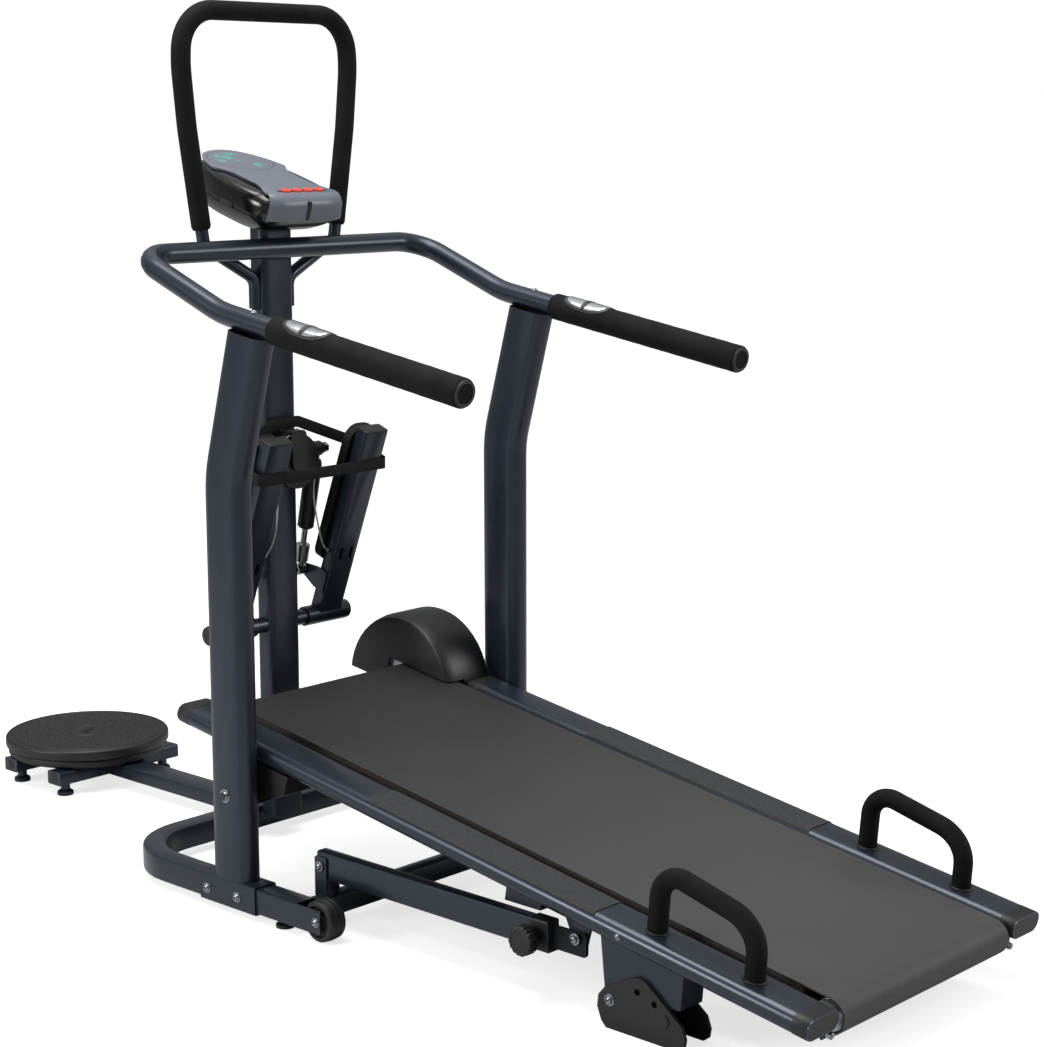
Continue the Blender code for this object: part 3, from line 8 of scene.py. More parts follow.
import bmesh
import bpy
import numpy as np
from bpy.props import FloatProperty, FloatVectorProperty, IntProperty, PointerProperty
from bpy.types import Operator, Panel, PropertyGroup
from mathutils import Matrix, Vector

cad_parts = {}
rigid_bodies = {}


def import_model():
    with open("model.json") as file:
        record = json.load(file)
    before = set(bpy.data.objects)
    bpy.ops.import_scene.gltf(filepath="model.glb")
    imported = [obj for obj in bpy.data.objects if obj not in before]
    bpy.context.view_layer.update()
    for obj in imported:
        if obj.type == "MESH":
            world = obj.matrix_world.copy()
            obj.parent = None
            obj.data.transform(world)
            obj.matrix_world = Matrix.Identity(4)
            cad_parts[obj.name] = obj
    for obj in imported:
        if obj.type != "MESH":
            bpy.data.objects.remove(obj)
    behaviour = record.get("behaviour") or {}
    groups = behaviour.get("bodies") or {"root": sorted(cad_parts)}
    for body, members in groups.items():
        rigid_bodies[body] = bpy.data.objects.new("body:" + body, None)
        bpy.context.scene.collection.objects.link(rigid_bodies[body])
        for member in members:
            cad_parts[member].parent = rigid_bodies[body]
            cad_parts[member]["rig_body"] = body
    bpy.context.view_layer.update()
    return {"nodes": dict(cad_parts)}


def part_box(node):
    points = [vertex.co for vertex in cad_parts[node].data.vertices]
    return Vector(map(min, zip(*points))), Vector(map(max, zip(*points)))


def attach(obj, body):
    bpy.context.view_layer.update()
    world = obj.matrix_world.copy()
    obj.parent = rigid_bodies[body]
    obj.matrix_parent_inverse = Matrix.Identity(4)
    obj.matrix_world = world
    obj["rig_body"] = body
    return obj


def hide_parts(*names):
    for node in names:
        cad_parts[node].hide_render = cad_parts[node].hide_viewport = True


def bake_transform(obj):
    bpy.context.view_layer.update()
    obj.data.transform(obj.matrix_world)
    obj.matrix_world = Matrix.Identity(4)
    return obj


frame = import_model()

bl_info = {
    "name": "Manual treadmill looks",
    "version": (1, 0, 0),
    "blender": (4, 5, 0),
    "location": "3D View > Sidebar > Treadmill",
    "description": "Finishes, foam, fasteners and fittings for an inclined manual treadmill",
    "category": "Object",
}

# ---------------------------------------------------------------- places, in metres, as the part has them
# Y counts from the uprights' feet, and FOOT_Y is where the frame has those feet
SIDES = ((-1, "left"), (1, "right"))
MAST_Y = 0.230
MAST_FACE_Y = 0.2107
FOOT_Y = float(np.mean([corner[1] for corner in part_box("stepper_shaft")])) - MAST_Y
SLOPE = math.radians(8.96)
BELT_HEIGHT = 0.255
RAIL_X = 0.234
RAIL_OUTER = 0.267
RAIL_MIDDLE = -0.0135
RAIL_REAR_S = -1.0238
RAIL_FRONT_S = (0.1598, 0.0038)
PUSH_FEET_S = (-0.762, -0.918)
UPRIGHT_X = 0.290
GRIP_END_Y = -0.475
GRIP_LENGTH = 0.372
GRIP_SLOPE = math.radians(9.3)
UPRIGHT_TOP_Z = 0.8555
UPRIGHT_TOP_Y = -0.0584
CONSOLE_Y, CONSOLE_Z = 0.241, 1.0702
CONSOLE_TILT = math.radians(17.5)
CONSOLE_HALF = (0.085, 0.1165)
BUTTON_ALONG = -0.090
RAIL_TUBE_R = 0.016
SHAFT_Z = 0.355
SHAFT_HALF = 0.144
PEDAL_X = 0.100
PEDAL_WIDE_HALF = 0.031
PEDAL_LEAN = math.radians(21.0)
PULLEY_Z = 0.622
STRAP_FRONT_Z = 0.611
STRAP_SIDE_Z = 0.639
STRAP_REAR_Z = 0.681
TWISTER_Y = 0.7535
TWISTER_TOP_Z = 0.0790
TWISTER_BARS_Y = (0.678, 0.805)
WHEEL_Y, WHEEL_Z = -0.190, 0.031
STRUT_X = -0.2435
STRUT_FRONT = (-0.145, 0.092)
STRUT_REAR = (-0.628, 0.100)
KNOB_FROM_PIVOT = 0.414
CAM_BOLT = (-0.697, 0.0385)


def deck(s, h, x):
    """Point at length s along the belt and height h square to it; s, h and x may be arrays."""
    s, h, x = np.broadcast_arrays(np.asarray(s, float), h, x)
    return np.stack([x, FOOT_Y + s * math.cos(SLOPE) - h * math.sin(SLOPE),
                     BELT_HEIGHT + s * math.sin(SLOPE) + h * math.cos(SLOPE)], axis=-1)


def pedal(u, v, x):
    """Point at length u up a pedal arm from the shaft and v from its centre line towards the user."""
    u, v, x = np.broadcast_arrays(np.asarray(u, float), v, x)
    return np.stack([x, FOOT_Y + MAST_Y - u * math.sin(PEDAL_LEAN) - v * math.cos(PEDAL_LEAN),
                     SHAFT_Z + u * math.cos(PEDAL_LEAN) - v * math.sin(PEDAL_LEAN)], axis=-1)


def console(across, along, height):
    """Point on the tilted console: along runs to its far end, height is square to its top."""
    across, along, height = np.broadcast_arrays(np.asarray(across, float), along, height)
    return np.stack([across,
                     FOOT_Y + CONSOLE_Y + along * math.cos(CONSOLE_TILT) - height * math.sin(CONSOLE_TILT),
                     CONSOLE_Z + along * math.sin(CONSOLE_TILT) + height * math.cos(CONSOLE_TILT)], axis=-1)


def at(x, y, z):
    """Point given from the uprights' feet."""
    return np.array([x, y + FOOT_Y, z], float)


def unit(vector):
    vector = np.asarray(vector, float)
    return vector / np.linalg.norm(vector, axis=-1, keepdims=True)


# ---------------------------------------------------------------- surfaces
def skin(name, parts, finish, body, sharp=35.0, uv=None):
    """Closed surface over stacks of loops.

    Each part is an array (loops, points, 3): neighbouring loops are joined by a band of quads, and a fan to
    the mean point closes both ends.  A part whose signed volume, a third of the sum of each face's middle
    dotted with its area vector, is negative is turned to face outwards.  body is one body's name, which the
    piece is attached to; any other value leaves the piece attached to no body.
    """
    parts = [parts] if isinstance(parts, np.ndarray) else parts
    points, quads, fans, start = [], [], [], 0
    for part in parts:
        loops, around = part.shape[:2]
        i, j = np.meshgrid(np.arange(loops - 1), np.arange(around), indexing="ij")
        k = (j + 1) % around
        band = np.stack([i * around + j, i * around + k, (i + 1) * around + k, (i + 1) * around + j],
                        axis=-1).reshape(-1, 4)
        low, high, ring = loops * around, loops * around + 1, np.arange(around)
        after = (ring + 1) % around
        first = np.stack([np.full(around, low), after, ring], axis=-1)
        last = (loops - 1) * around
        second = np.stack([np.full(around, high), last + ring, last + after], axis=-1)
        fan = np.concatenate([first, second])
        every = np.concatenate([part.reshape(-1, 3), part[0].mean(0, keepdims=True),
                                part[-1].mean(0, keepdims=True)])
        middle = every.mean(0)
        a, b, c, d = (every[band[:, n]] - middle for n in range(4))
        volume = (np.cross(c - a, d - b) * (a + b + c + d)).sum()
        p, q, r = (every[fan[:, n]] - middle for n in range(3))
        volume += 4 * (np.cross(q - p, r - p) * (p + q + r)).sum() / 3
        if volume < 0:
            band, fan = band[:, ::-1], fan[:, ::-1]
        points.append(every)
        quads.append(band + start)
        fans.append(fan + start)
        start += len(every)
    points, quads, fans = np.concatenate(points), np.concatenate(quads), np.concatenate(fans)
    mesh = bpy.data.meshes.new(name)
    mesh.from_pydata(points, [], quads.tolist() + fans.tolist())
    mesh.materials.append(bpy.data.materials[finish])
    mesh.shade_smooth()
    mesh.set_sharp_from_angle(angle=math.radians(sharp))
    if uv is not None:
        where = np.zeros(len(mesh.loops), np.int32)
        mesh.loops.foreach_get("vertex_index", where)
        full = np.zeros((start, 2))
        full[:len(uv)] = uv
        layer = mesh.uv_layers.new(name="along_and_across")
        layer.data.foreach_set("uv", full[where].astype(np.float32).ravel())
    piece = bpy.data.objects.new(name, mesh)
    bpy.context.scene.collection.objects.link(piece)
    if isinstance(body, str):
        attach(piece, body)
    else:
        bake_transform(piece)
    return piece


def rounded_corners(points, radii, degrees=5.0):
    """Path whose inner corners are arcs: each arc's centre lies on its corner's bisector, and its points are
    weighted sums of the two radii that meet the straight runs (spherical interpolation)."""
    points = np.asarray(points, float)
    path = [points[:1]]
    for before, corner, after, radius in zip(points, points[1:], points[2:], radii):
        a, b = unit(before - corner), unit(after - corner)
        half = math.acos(float(np.clip(a @ b, -1, 1))) / 2
        centre = corner + unit(a + b) * radius / math.sin(half)
        start, end = (corner + way * radius / math.tan(half) - centre for way in (a, b))
        turn = math.pi - 2 * half
        t = np.linspace(0, 1, max(3, int(math.degrees(turn) / degrees) + 2))[:, None]
        path.append(centre + (start * np.sin((1 - t) * turn) + end * np.sin(t * turn)) / math.sin(turn))
    return np.concatenate(path + [points[-1:]])


def resampled(path, count):
    """The same path with evenly spaced points, by linear interpolation over its length."""
    length = np.concatenate([[0], np.cumsum(np.linalg.norm(np.diff(path, axis=0), axis=1))])
    at_length = np.linspace(0, length[-1], count)
    return np.stack([np.interp(at_length, length, path[:, n]) for n in range(3)], axis=-1)


def swept(path, across, upward, up):
    """Loops carried along a path.  A point is the path's point, plus across times the direction up x tangent,
    plus upward times the direction tangent x (up x tangent).  Tangents are central differences."""
    path = np.asarray(path, float)
    tangent = unit(np.gradient(path, axis=0))
    first = unit(np.cross(np.asarray(up, float), tangent))
    second = np.cross(tangent, first)
    across, upward = np.broadcast_arrays(across, upward)
    if across.ndim == 1:
        across, upward = (np.tile(values, (len(path), 1)) for values in (across, upward))
    return path[:, None] + first[:, None] * across[..., None] + second[:, None] * upward[..., None]


def round_hose(path, radius, up, around=32):
    """Round hose along a path; its radius may change from loop to loop."""
    angle = np.linspace(0, 2 * math.pi, around, endpoint=False)
    radius = np.broadcast_to(np.asarray(radius, float), (len(path),))
    return swept(path, radius[:, None] * np.cos(angle), radius[:, None] * np.sin(angle), up)


def turned(profile, centre, axis, around=64, flutes=None):
    """Profile of (radius, length) turned round an axis: a point is the centre, plus length along the axis,
    plus radius times the turning direction.  flutes(angle) scales the radius, for ribs round the rim."""
    profile = np.asarray(profile, float)
    axis = unit(axis)
    first = unit(np.cross(axis, (0, 0, 1) if abs(axis[2]) < 0.9 else (1, 0, 0)))
    second = np.cross(axis, first)
    angle = np.linspace(0, 2 * math.pi, around, endpoint=False)
    radius = profile[:, :1] * np.ones(around)
    if flutes is not None:
        radius = radius * flutes(angle)
    spokes = first * np.cos(angle)[:, None] + second * np.sin(angle)[:, None]
    return np.asarray(centre, float) + profile[:, None, 1:] * axis + radius[..., None] * spokes


def round_rectangle(width, height, radius, each=6):
    """Rectangle with quarter circles for corners: the corner's centre plus radius times (cos, sin)."""
    angle = np.linspace(0, math.pi / 2, each)
    corner = radius * np.stack([np.cos(angle), np.sin(angle)], axis=-1)
    w, h = width / 2 - radius, height / 2 - radius
    turn = [np.array([[1, 0], [0, 1]]), np.array([[0, 1], [-1, 0]]), np.array([[-1, 0], [0, -1]]),
            np.array([[0, -1], [1, 0]])]
    middle = [(w, h), (-w, h), (-w, -h), (w, -h)]
    return np.concatenate([corner @ t + m for t, m in zip(turn, middle)])


def slab(outline, centre, first, second, heights):
    """Stack of one outline, each layer shrunk by (shrink, height) along the normal first x second."""
    first, second = unit(first), unit(second)
    normal = np.cross(first, second)
    outline = np.asarray(outline, float)
    size = np.abs(outline).max(0)
    layers = []
    for shrink, height in heights:
        flat = outline * (1 - shrink / size)
        layers.append(np.asarray(centre) + first * flat[:, :1] + second * flat[:, 1:] + normal * height)
    return np.stack(layers)


def plug(outline, centre, first, second, depth=0.010, dome=0.0006):
    """End cap pushed into a tube: straight sides, a softened rim and a slightly domed face."""
    return slab(outline, centre, first, second,
                [(0.001, -depth), (0, -depth + 0.001), (0, -0.0012), (0.0008, -0.0002),
                 (0.003, dome - 0.0004),
                 (0.006, dome)])


# bolt heads: (share of radius, share of height) from the washer's edge to the bottom of the hexagon socket
DOME_BOLT = ((1.45, -0.3), (1.45, 0.10), (1.38, 0.18), (1.02, 0.20), (1.00, 0.42), (0.90, 0.70), (0.70, 0.90),
             (0.48, 1.00), (0.42, 0.96), (0.40, 0.60))


def bolt(centre, axis, radius, height):
    """Button-head bolt on its washer, its foot let 0.3 of its height into what it holds."""
    profile = np.array(DOME_BOLT) * (radius, height)
    return turned(profile, centre, axis, 24)


def hexagon(centre, axis, radius, height):
    """Hexagon nut or head: radius times 1 / cos of the angle to the nearest flat's middle."""
    def flats(angle):
        return 1 / np.cos((angle + math.pi / 6) % (math.pi / 3) - math.pi / 6) / 1.12
    profile = ((radius, -0.001), (radius, height * 0.85), (radius * 0.9, height), (radius * 0.5, height))
    return turned(profile, centre, axis, 36, flats)


# ---------------------------------------------------------------- finishes
def linear(text):
    """sRGB hex colour as linear red, green, blue and alpha."""
    parts = [int(text[n:n + 2], 16) / 255 for n in (1, 3, 5)]
    return tuple(c / 12.92 if c <= 0.04045 else ((c + 0.055) / 1.055) ** 2.4 for c in parts) + (1.0,)


def add(tree, kind, inputs=None, **settings):
    """Adds a node, sets it, and links or fills its inputs."""
    made = tree.nodes.new(kind)
    for name, value in settings.items():
        setattr(made, name, value)
    for socket, value in (inputs or {}).items():
        if isinstance(value, bpy.types.NodeSocket):
            tree.links.new(value, made.inputs[socket])
        else:
            made.inputs[socket].default_value = value
    return made


def blank(name, **constants):
    """New material, its constant values on the shader's own sockets; gives tree, shader and coordinates."""
    material = bpy.data.materials.new(name)
    material.use_nodes = True
    tree = material.node_tree
    shader = tree.nodes["Principled BSDF"]
    for socket, value in constants.items():
        shader.inputs[socket.replace("_", " ")].default_value = value
    return tree, shader, tree.nodes.new("ShaderNodeTexCoord").outputs["Object"]


def dressed(tree, shader, colour=None, roughness=None, normal=None):
    """Links the varying colour, roughness and normal to the shader."""
    for socket, value in (("Base Color", colour), ("Roughness", roughness), ("Normal", normal)):
        if value is not None:
            tree.links.new(value, shader.inputs[socket])


def grained(name, light, dark, rough, grain, depth, cloud=0.12, stretch=(1, 1, 1), **constants):
    """Material with two noises: clouds of cloud metres vary colour and roughness, and grain of grain metres
    gives the bump, depth metres deep.  stretch lengthens the grain, as for brushing or drawing."""
    tree, shader, spot = blank(name, **constants)
    clouds = add(tree, "ShaderNodeTexNoise", {"Vector": spot, "Scale": 1 / cloud, "Detail": 5.0,
                                              "Roughness": 0.6})
    mixed = add(tree, "ShaderNodeMix", {"Factor": clouds.outputs["Fac"], 6: light, 7: dark}, data_type="RGBA")
    shine = add(tree, "ShaderNodeMapRange", {"Value": clouds.outputs["Fac"], "From Min": 0.3, "From Max": 0.7,
                                             "To Min": rough[0], "To Max": rough[1]})
    lengthened = add(tree, "ShaderNodeMapping", {"Vector": spot, "Scale": tuple(1 / s for s in stretch)})
    fine = add(tree, "ShaderNodeTexNoise", {"Vector": lengthened.outputs["Vector"], "Scale": 1 / grain,
                                            "Detail": 3.0, "Roughness": 0.65})
    bump = add(tree, "ShaderNodeBump", {"Height": fine.outputs["Fac"], "Strength": 1.0, "Distance": depth})
    dressed(tree, shader, mixed.outputs[2], shine.outputs["Result"], bump.outputs["Normal"])
    return tree, shader, spot, mixed, bump


def make_finishes(look):
    """All finishes of the machine.  Colours come from the panel, scales from real sizes."""
    # polyester powder coat on steel: orange peel of 1 to 2 mm, drawn at 3 mm so that it shows; satin sheen
    grained("slate_powder_coat", tuple(look.enamel), linear("#20262F"), (0.27, 0.36), 0.003, 0.00004, 0.35,
            Metallic=0.50, Coat_Weight=0.15, Coat_Roughness=0.22)
    # moulded ABS, spark-eroded tool: even fine grain, softly matt, with patches that hands have smoothed
    grained("moulded_black_abs", linear("#0D0D0E"), linear("#080809"), (0.45, 0.58), 0.0016, 0.00006, 0.06)
    # satin ABS cover: polished tool, broad soft reflections, faint flow marks
    grained("satin_black_cover", linear("#101011"), linear("#0B0B0C"), (0.36, 0.46), 0.0025, 0.00002, 0.20,
            Specular_IOR_Level=0.40)
    # high-gloss ABS of the console's skirts
    grained("gloss_black_abs", linear("#060607"), linear("#0A0A0B"), (0.15, 0.22), 0.004, 0.00001, 0.08)
    # closed-cell nitrile foam: 0.5 mm cells drawn at 1.5 mm, dull
    grained("nitrile_foam", tuple(look.foam), linear("#060606"), (0.80, 0.92), 0.0015, 0.00018, 0.05,
            Specular_IOR_Level=0.22)
    # compression-moulded rubber of feet and foot plates
    grained("moulded_rubber", linear("#0C0C0D"), linear("#070708"), (0.52, 0.66), 0.0018, 0.00010, 0.05,
            Specular_IOR_Level=0.25)
    # silicon carbide grit set in black resin: coarse dark sparkle on the rails
    grained("anti_slip_grit", linear("#303133"), linear("#161718"), (0.70, 0.92), 0.0016, 0.00045, 0.004)
    # bright zinc plate on bolts
    grained("zinc_plate", linear("#A6A9AD"), linear("#77797D"), (0.20, 0.34), 0.002, 0.00002, 0.01,
            Metallic=1.0)
    # polished stainless contacts, drawn along the grip
    grained("stainless_contact", linear("#D5D6D6"), linear("#B4B6B8"), (0.16, 0.28), 0.0015, 0.00001, 0.03,
            stretch=(1, 12, 1), Metallic=1.0)
    # blackened steel: oily black oxide over a cold-rolled surface
    grained("black_oxide_steel", linear("#2A2C30"), linear("#1A1B1E"), (0.38, 0.52), 0.002, 0.00004, 0.03,
            Metallic=0.8)
    # laminated fibreboard: brown core, dark smooth face
    grained("laminated_board", linear("#3A2F27"), linear("#241D18"), (0.55, 0.70), 0.001, 0.00008, 0.01)
    # silicone rubber of the push buttons
    grained("button_silicone", tuple(look.buttons), linear("#C9331B"), (0.38, 0.48), 0.0012, 0.00003, 0.01,
            Subsurface_Weight=0.05)
    turned_steel()
    wire_rope()
    webbing()
    belt_cover(tuple(look.belt))
    console_shell_finish(tuple(look.console))
    pale_floor()


def pale_floor():
    """Matt pale board under and behind the machine.  Its glow is seen by the camera only, so that the
    surround is white and the machine isn't lit by it."""
    tree, shader, *_ = grained("pale_floor", linear("#C6C6C6"), linear("#C0C0C0"), (0.75, 0.85), 0.02,
                               0.00002, 1.5, Specular_IOR_Level=0.15, Emission_Color=(1, 1, 1, 1))
    seen = add(tree, "ShaderNodeLightPath")
    glow = add(tree, "ShaderNodeMath", {0: seen.outputs["Is Camera Ray"], 1: 0.72}, operation="MULTIPLY")
    tree.links.new(glow.outputs["Value"], shader.inputs["Emission Strength"])


def turned_steel():
    """Turned steel of rollers and flywheel: rings of tool marks every 1.5 mm along the X axis."""
    tree, shader, spot, _, bump = grained(
        "turned_steel", linear("#B3B5B8"), linear("#85878B"), (0.22, 0.36), 0.002, 0.00002, 0.05,
        Metallic=1.0)
    rings = add(tree, "ShaderNodeTexWave", {"Vector": spot, "Scale": 1 / 0.0094, "Distortion": 0.4,
                                            "Detail": 1.0}, bands_direction="X")
    marks = add(tree, "ShaderNodeBump", {"Height": rings.outputs["Fac"], "Strength": 0.5, "Distance": 0.00003,
                                         "Normal": bump.outputs["Normal"]})
    dressed(tree, shader, normal=marks.outputs["Normal"])


def wire_rope():
    """Galvanised wire rope: grey spangled zinc, with painted shade in the lay between the strands, read from
    the map.
    """
    tree, shader, _, mixed, _ = grained(
        "galvanised_rope", linear("#D2D4D5"), linear("#A8AAAC"), (0.34, 0.50), 0.001, 0.00003, 0.004,
        Metallic=0.7)
    own = add(tree, "ShaderNodeUVMap", uv_map="along_and_across")
    lay = add(tree, "ShaderNodeTexWave", {"Vector": own.outputs["UV"], "Scale": 1.0, "Distortion": 0.0},
              bands_direction="DIAGONAL")
    # painted shade: the lay between the strands is mixed towards a darker grey
    dark = add(tree, "ShaderNodeMix", {"Factor": lay.outputs["Fac"], 6: linear("#7C7E80"),
                                       7: mixed.outputs[2]},
               data_type="RGBA")
    dressed(tree, shader, dark.outputs[2])


def webbing():
    """Polypropylene webbing: ribs along and across, read from the strap's own map in metres."""
    tree, shader, _, _, bump = grained(
        "black_webbing", linear("#121213"), linear("#090909"), (0.70, 0.85), 0.001, 0.0001, 0.01,
        Specular_IOR_Level=0.30)
    own = add(tree, "ShaderNodeUVMap", uv_map="along_and_across")
    weave = add(tree, "ShaderNodeTexWave", {"Vector": own.outputs["UV"], "Scale": 1 / 0.010,
                                            "Distortion": 0.0},
                bands_direction="X")
    cross = add(tree, "ShaderNodeTexWave", {"Vector": own.outputs["UV"], "Scale": 1 / 0.018,
                                            "Distortion": 0.0},
                bands_direction="Y")
    both = add(tree, "ShaderNodeMath", {0: weave.outputs["Fac"], 1: cross.outputs["Fac"]},
               operation="MULTIPLY")
    raised = add(tree, "ShaderNodeBump", {"Height": both.outputs["Value"], "Strength": 0.8,
                                          "Distance": 0.0003,
                                          "Normal": bump.outputs["Normal"]})
    dressed(tree, shader, normal=raised.outputs["Normal"])


def belt_cover(colour):
    """PVC walking belt with a fine diamond print: two crossed sets of 2.2 mm ridges, drawn at 4 mm, dull
    black, with a painted sheen that turns it greyer towards the low rear end."""
    tree, shader, spot = blank("pvc_walking_belt", Specular_IOR_Level=0.45)
    split = add(tree, "ShaderNodeSeparateXYZ", {"Vector": spot})
    # painted sheen: a mask that rises towards the low rear end, standing in for light glancing off the belt
    painted_rear_sheen = add(tree, "ShaderNodeMapRange", {"Value": split.outputs["Y"], "From Min": 0.15, "From Max": -0.95},
               interpolation_type="SMOOTHSTEP")
    clouds = add(tree, "ShaderNodeTexNoise", {"Vector": spot, "Scale": 9.0, "Detail": 6.0, "Roughness": 0.65})
    shift = add(tree, "ShaderNodeMath", {0: clouds.outputs["Fac"], 1: 0.16, 2: painted_rear_sheen.outputs["Result"]},
                operation="MULTIPLY_ADD")
    # the lighter grey is the painted sheen, mixed with the random mottling of the clouds
    mixed = add(tree, "ShaderNodeMix", {"Factor": shift.outputs["Value"], 6: colour, 7: linear("#3A3A3B")},
                data_type="RGBA")
    ridges = []
    for way in (math.pi / 4, -math.pi / 4):
        leaning = add(tree, "ShaderNodeMapping", {"Vector": spot, "Rotation": (0.0, 0.0, way)})
        ridges.append(add(tree, "ShaderNodeTexWave", {"Vector": leaning.outputs["Vector"], "Scale": 1 / 0.025,
                                                      "Distortion": 0.0}, bands_direction="X"))
    highest = add(tree, "ShaderNodeMath", {0: ridges[0].outputs["Fac"], 1: ridges[1].outputs["Fac"]},
                  operation="MAXIMUM")
    bump = add(tree, "ShaderNodeBump", {"Height": highest.outputs["Value"], "Strength": 0.25,
                                        "Distance": 0.0004})
    rough = add(tree, "ShaderNodeMapRange", {"Value": clouds.outputs["Fac"], "To Min": 0.52, "To Max": 0.70})
    dressed(tree, shader, mixed.outputs[2], rough.outputs["Result"], bump.outputs["Normal"])


def console_shell_finish(colour):
    """Grey satin ABS top with fine grain.  A dark hairline oval marks the display, with small plain teal
    marks in it; the oval's value is the distance from its middle, scaled by its two half lengths."""
    tree, shader, spot, mixed, _ = grained(
        "grey_satin_abs", colour, linear("#5B5F69"), (0.32, 0.40), 0.002, 0.00003, 0.10)
    middle = console(0, 0.060, 0)
    flat = add(tree, "ShaderNodeVectorMath", {0: spot, 1: tuple(middle)}, operation="SUBTRACT")
    parts = add(tree, "ShaderNodeSeparateXYZ", {"Vector": flat.outputs["Vector"]})
    scaled = add(tree, "ShaderNodeCombineXYZ", {
        "X": add(tree, "ShaderNodeMath", {0: parts.outputs["X"], 1: 0.058},
                 operation="DIVIDE").outputs["Value"],
        "Y": add(tree, "ShaderNodeMath", {0: parts.outputs["Y"], 1: 0.044},
                 operation="DIVIDE").outputs["Value"]})
    length = add(tree, "ShaderNodeVectorMath", {0: scaled.outputs["Vector"]}, operation="LENGTH")
    line = add(tree, "ShaderNodeMath", {0: length.outputs["Value"], 1: 1.0, 2: 0.022}, operation="COMPARE")
    inside = add(tree, "ShaderNodeMath", {0: length.outputs["Value"], 1: 0.78}, operation="LESS_THAN")
    dashes = add(tree, "ShaderNodeTexBrick", {"Vector": flat.outputs["Vector"], "Color1": (0, 0, 0, 1),
                                              "Color2": (0, 0, 0, 1), "Mortar": (1, 1, 1, 1), "Scale": 1.0,
                                              "Mortar Size": 0.0042, "Mortar Smooth": 0.0,
                                              "Brick Width": 0.030, "Row Height": 0.017})
    cells = add(tree, "ShaderNodeTexVoronoi", {"Vector": flat.outputs["Vector"], "Scale": 45.0})
    some = add(tree, "ShaderNodeMath", {0: cells.outputs["Distance"], 1: 0.45}, operation="LESS_THAN")
    marks = add(tree, "ShaderNodeMath", {
        0: add(tree, "ShaderNodeMath", {0: dashes.outputs["Fac"], 1: some.outputs["Value"]},
               operation="MULTIPLY").outputs["Value"],
        1: inside.outputs["Value"]}, operation="MULTIPLY")
    lined = add(tree, "ShaderNodeMix", {"Factor": line.outputs["Value"], 6: mixed.outputs[2],
                                        7: linear("#3C3F46")}, data_type="RGBA")
    marked = add(tree, "ShaderNodeMix", {"Factor": marks.outputs["Value"], 6: lined.outputs[2],
                                         7: linear("#4C9384")}, data_type="RGBA")
    dressed(tree, shader, marked.outputs[2])


# CAD nodes whose shape is right, by finish: each gets a welded, smooth-shaded copy with softened edges
CARRIED = {
    ("slate_powder_coat", "slate_enamel"): [
        "base_bow", "base_cross_tube", "left_foot_tube", "right_foot_tube", "left_upright", "right_upright",
        "mast",
        "handrail_tube", "loop_handle_tube", "left_pedal_arm", "right_pedal_arm", "shock_bar",
        "stepper_shaft",
        "twister_frame", "left_rail", "right_rail", "rear_cross_member", "strut_tube"],
    ("moulded_black_abs", "black_plastic"): [
        "left_cam_foot", "right_cam_foot", "left_levelling_foot", "right_levelling_foot", "pulley",
        "pulley_bracket", "front_cross_member", "left_shock_cylinder", "right_shock_cylinder"],
    ("satin_black_cover", "cover_black"): ["flywheel_cover"],
    ("anti_slip_grit", "rubber"): ["left_rail_pad", "right_rail_pad"],
    ("pvc_walking_belt", "belt"): ["belt"],
    ("laminated_board", "board"): ["deck_board"],
    ("turned_steel", "roller_steel"): ["front_roller", "rear_roller", "flywheel", "left_shock_rod",
                                       "right_shock_rod"],
    ("black_oxide_steel", "dark_steel"): ["strut_bar"],
    ("button_silicone", "button_red"): ["console_button_1", "console_button_2", "console_button_3",
                                        "console_button_4"],
}


def welded_copy(name, finish):
    """Copy of a CAD node with its doubled corners merged, so that its curved faces shade as one surface.
    Corners sharper than 32 degrees stay sharp, and a narrow bevel there catches the light."""
    node = frame["nodes"][name]
    mesh = node.data.copy()
    mesh.name = name + "_finished"
    shape = bmesh.new()
    shape.from_mesh(mesh)
    bmesh.ops.remove_doubles(shape, verts=shape.verts, dist=0.00001)
    bmesh.ops.dissolve_limit(shape, angle_limit=math.radians(0.4), verts=shape.verts, edges=shape.edges,
                             delimit={"NORMAL"})
    shape.to_mesh(mesh)
    shape.free()
    if "custom_normal" in mesh.attributes:
        mesh.attributes.remove(mesh.attributes["custom_normal"])
    mesh.materials.clear()
    mesh.materials.append(bpy.data.materials[finish])
    mesh.shade_smooth()
    mesh.set_sharp_from_angle(angle=math.radians(32))
    piece = bpy.data.objects.new(mesh.name, mesh)
    bpy.context.scene.collection.objects.link(piece)
    soft = piece.modifiers.new("edge_radius", "BEVEL")
    soft.width, soft.segments, soft.limit_method = 0.0006, 2, "ANGLE"
    soft.angle_limit, soft.harden_normals = math.radians(40), True
    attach(piece, node["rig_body"])
    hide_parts(name)


# ---------------------------------------------------------------- what a user would change
class TreadmillColours(PropertyGroup):
    enamel: FloatVectorProperty(name="Frame enamel", description="Powder coat on the tubes", subtype="COLOR",
                                size=4, min=0, max=1, default=linear("#2B323F"))
    foam: FloatVectorProperty(name="Foam", description="Grips and handles", subtype="COLOR", size=4, min=0,
                              max=1, default=linear("#0D0D0E"))
    belt: FloatVectorProperty(name="Belt", description="Front of the walking belt", subtype="COLOR", size=4,
                              min=0, max=1, default=linear("#161617"))
    console: FloatVectorProperty(name="Console", description="Top shell of the console", subtype="COLOR",
                                 size=4,
                                 min=0, max=1, default=linear("#666A74"))
    buttons: FloatVectorProperty(name="Buttons", description="Console push buttons", subtype="COLOR", size=4,
                                 min=0, max=1, default=linear("#E8452B"))


